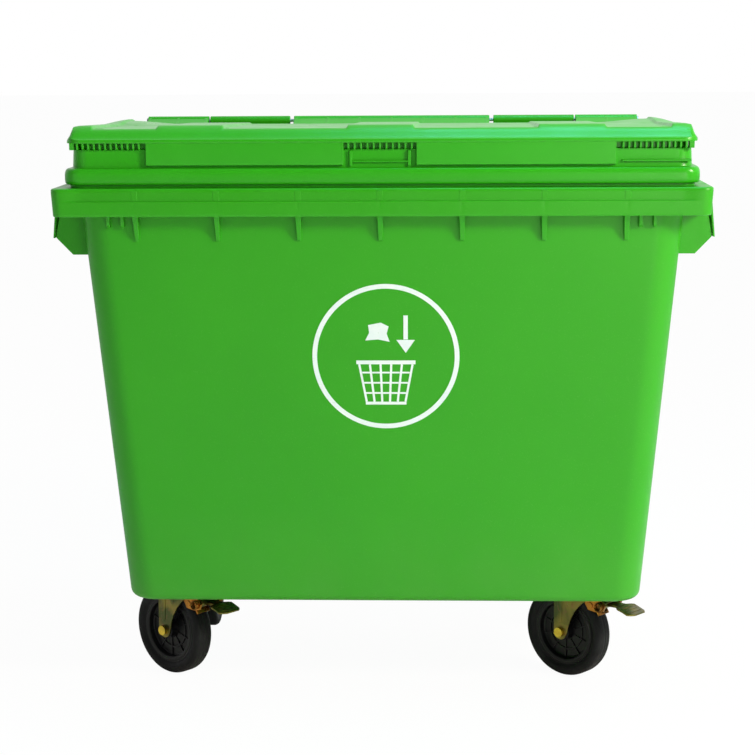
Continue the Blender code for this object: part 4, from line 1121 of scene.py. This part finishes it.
def shoe_form():
    """Cross barrel, a short arm and a curved shoe 4 mm clear of the tyre."""
    sx, sz = SHOE_AXIS
    made = bar(disc(0.007, 24, SHOE_AXIS), -0.018, 0.018, "y")
    wheel_centre = (-TRAIL, AXLE_Z)
    near = WHEEL_R / cos(pi / 24) + 0.004
    band = arc(wheel_centre, near, 28, 18, 12) + arc(wheel_centre, near + 0.0045, 46, -18, 12)
    join(made, bar(band, -0.018, 0.018, "y"))
    seat = arc(wheel_centre, near + 0.003, 34, 6, 3)
    link = [seat[0], seat[-1], (sx - 0.005, sz + 0.002), (sx + 0.005, sz - 0.002)]
    join(made, bar(link, -0.0165, 0.0165, "y"))
    return made


for word, centre in CASTERS.items():
    swivel = (Matrix.Translation((centre.x, centre.y, 0))
              @ Matrix.Rotation(radians(HEADINGS[word]), 4, "Z"))
    axle = swivel @ Matrix.Translation((-TRAIL, 0, AXLE_Z))
    made = [("tyre", tyre_form(), axle, RUBBER, "tyre_rubber", "wheel", 0.0),
            ("hub", hub_form(), axle, HUB_BLACK, "black_plastic", "wheel", 0.0),
            ("fork", fork_form(), swivel, YELLOW_ZINC, "yellow_zinc_steel", "swivel", 0.0007)]
    if word.startswith("front"):
        cheeks = brake_housing_form()
        bmesh.ops.transform(cheeks, matrix=swivel, verts=cheeks.verts)
        housing = finish_mesh(f"{word}_brake_housing", cheeks, COPPER_ZINC, bevel=0.0006)
        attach(housing, f"{word}_swivel")
        made += [("brake_pedal", pedal_form(), swivel, YELLOW_ZINC, "yellow_zinc_steel",
                  "pedal", 0.0006),
                 ("brake_shoe", shoe_form(), swivel, COPPER_ZINC, "yellow_zinc_steel",
                  "shoe", 0.0006)]
    for part, bm, frame_of, finish, slot_name, body, bevel in made:
        bmesh.ops.transform(bm, matrix=frame_of, verts=bm.verts)
        shown = finish_mesh(f"{word}_{part}_shown", bm, finish, bevel=bevel)
        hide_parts(f"{word}_{part}")
        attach(shown, f"{word}_{body}")


# ---- Small metal, plastic and rubber parts ----
# Plates, pins, bolts, nuts, hinge rods and trunnions are turned or pressed steel; the drain plug
# is black polypropylene on an EPDM ring. Their edges are broken by 0.3 mm.
EDGE_BREAK = 0.0003


def carried(node, finish):
    """Gives a solid part its finish and breaks its edges."""
    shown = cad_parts[node]
    shown.data.materials.clear()
    shown.data.materials.append(finish)
    round_edges(shown, EDGE_BREAK, 40)


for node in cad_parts:
    if node.endswith("_plate"):
        carried(node, YELLOW_ZINC)
    elif node.endswith(("_axle_bolt", "_axle_nut")):
        carried(node, GOLD_ZINC)
    elif "_mount_bolt_" in node or node.endswith(("_kingpin", "_pin")):
        carried(node, BRIGHT_ZINC)
    elif node.startswith(("trunnion_", "hinge_rod_")):
        carried(node, BRIGHT_ZINC)
    elif node == "drain_plug":
        carried(node, HUB_BLACK)
    elif node == "drain_seal":
        carried(node, RUBBER)


# ---- Final update of the scene ----
bpy.context.view_layer.update()
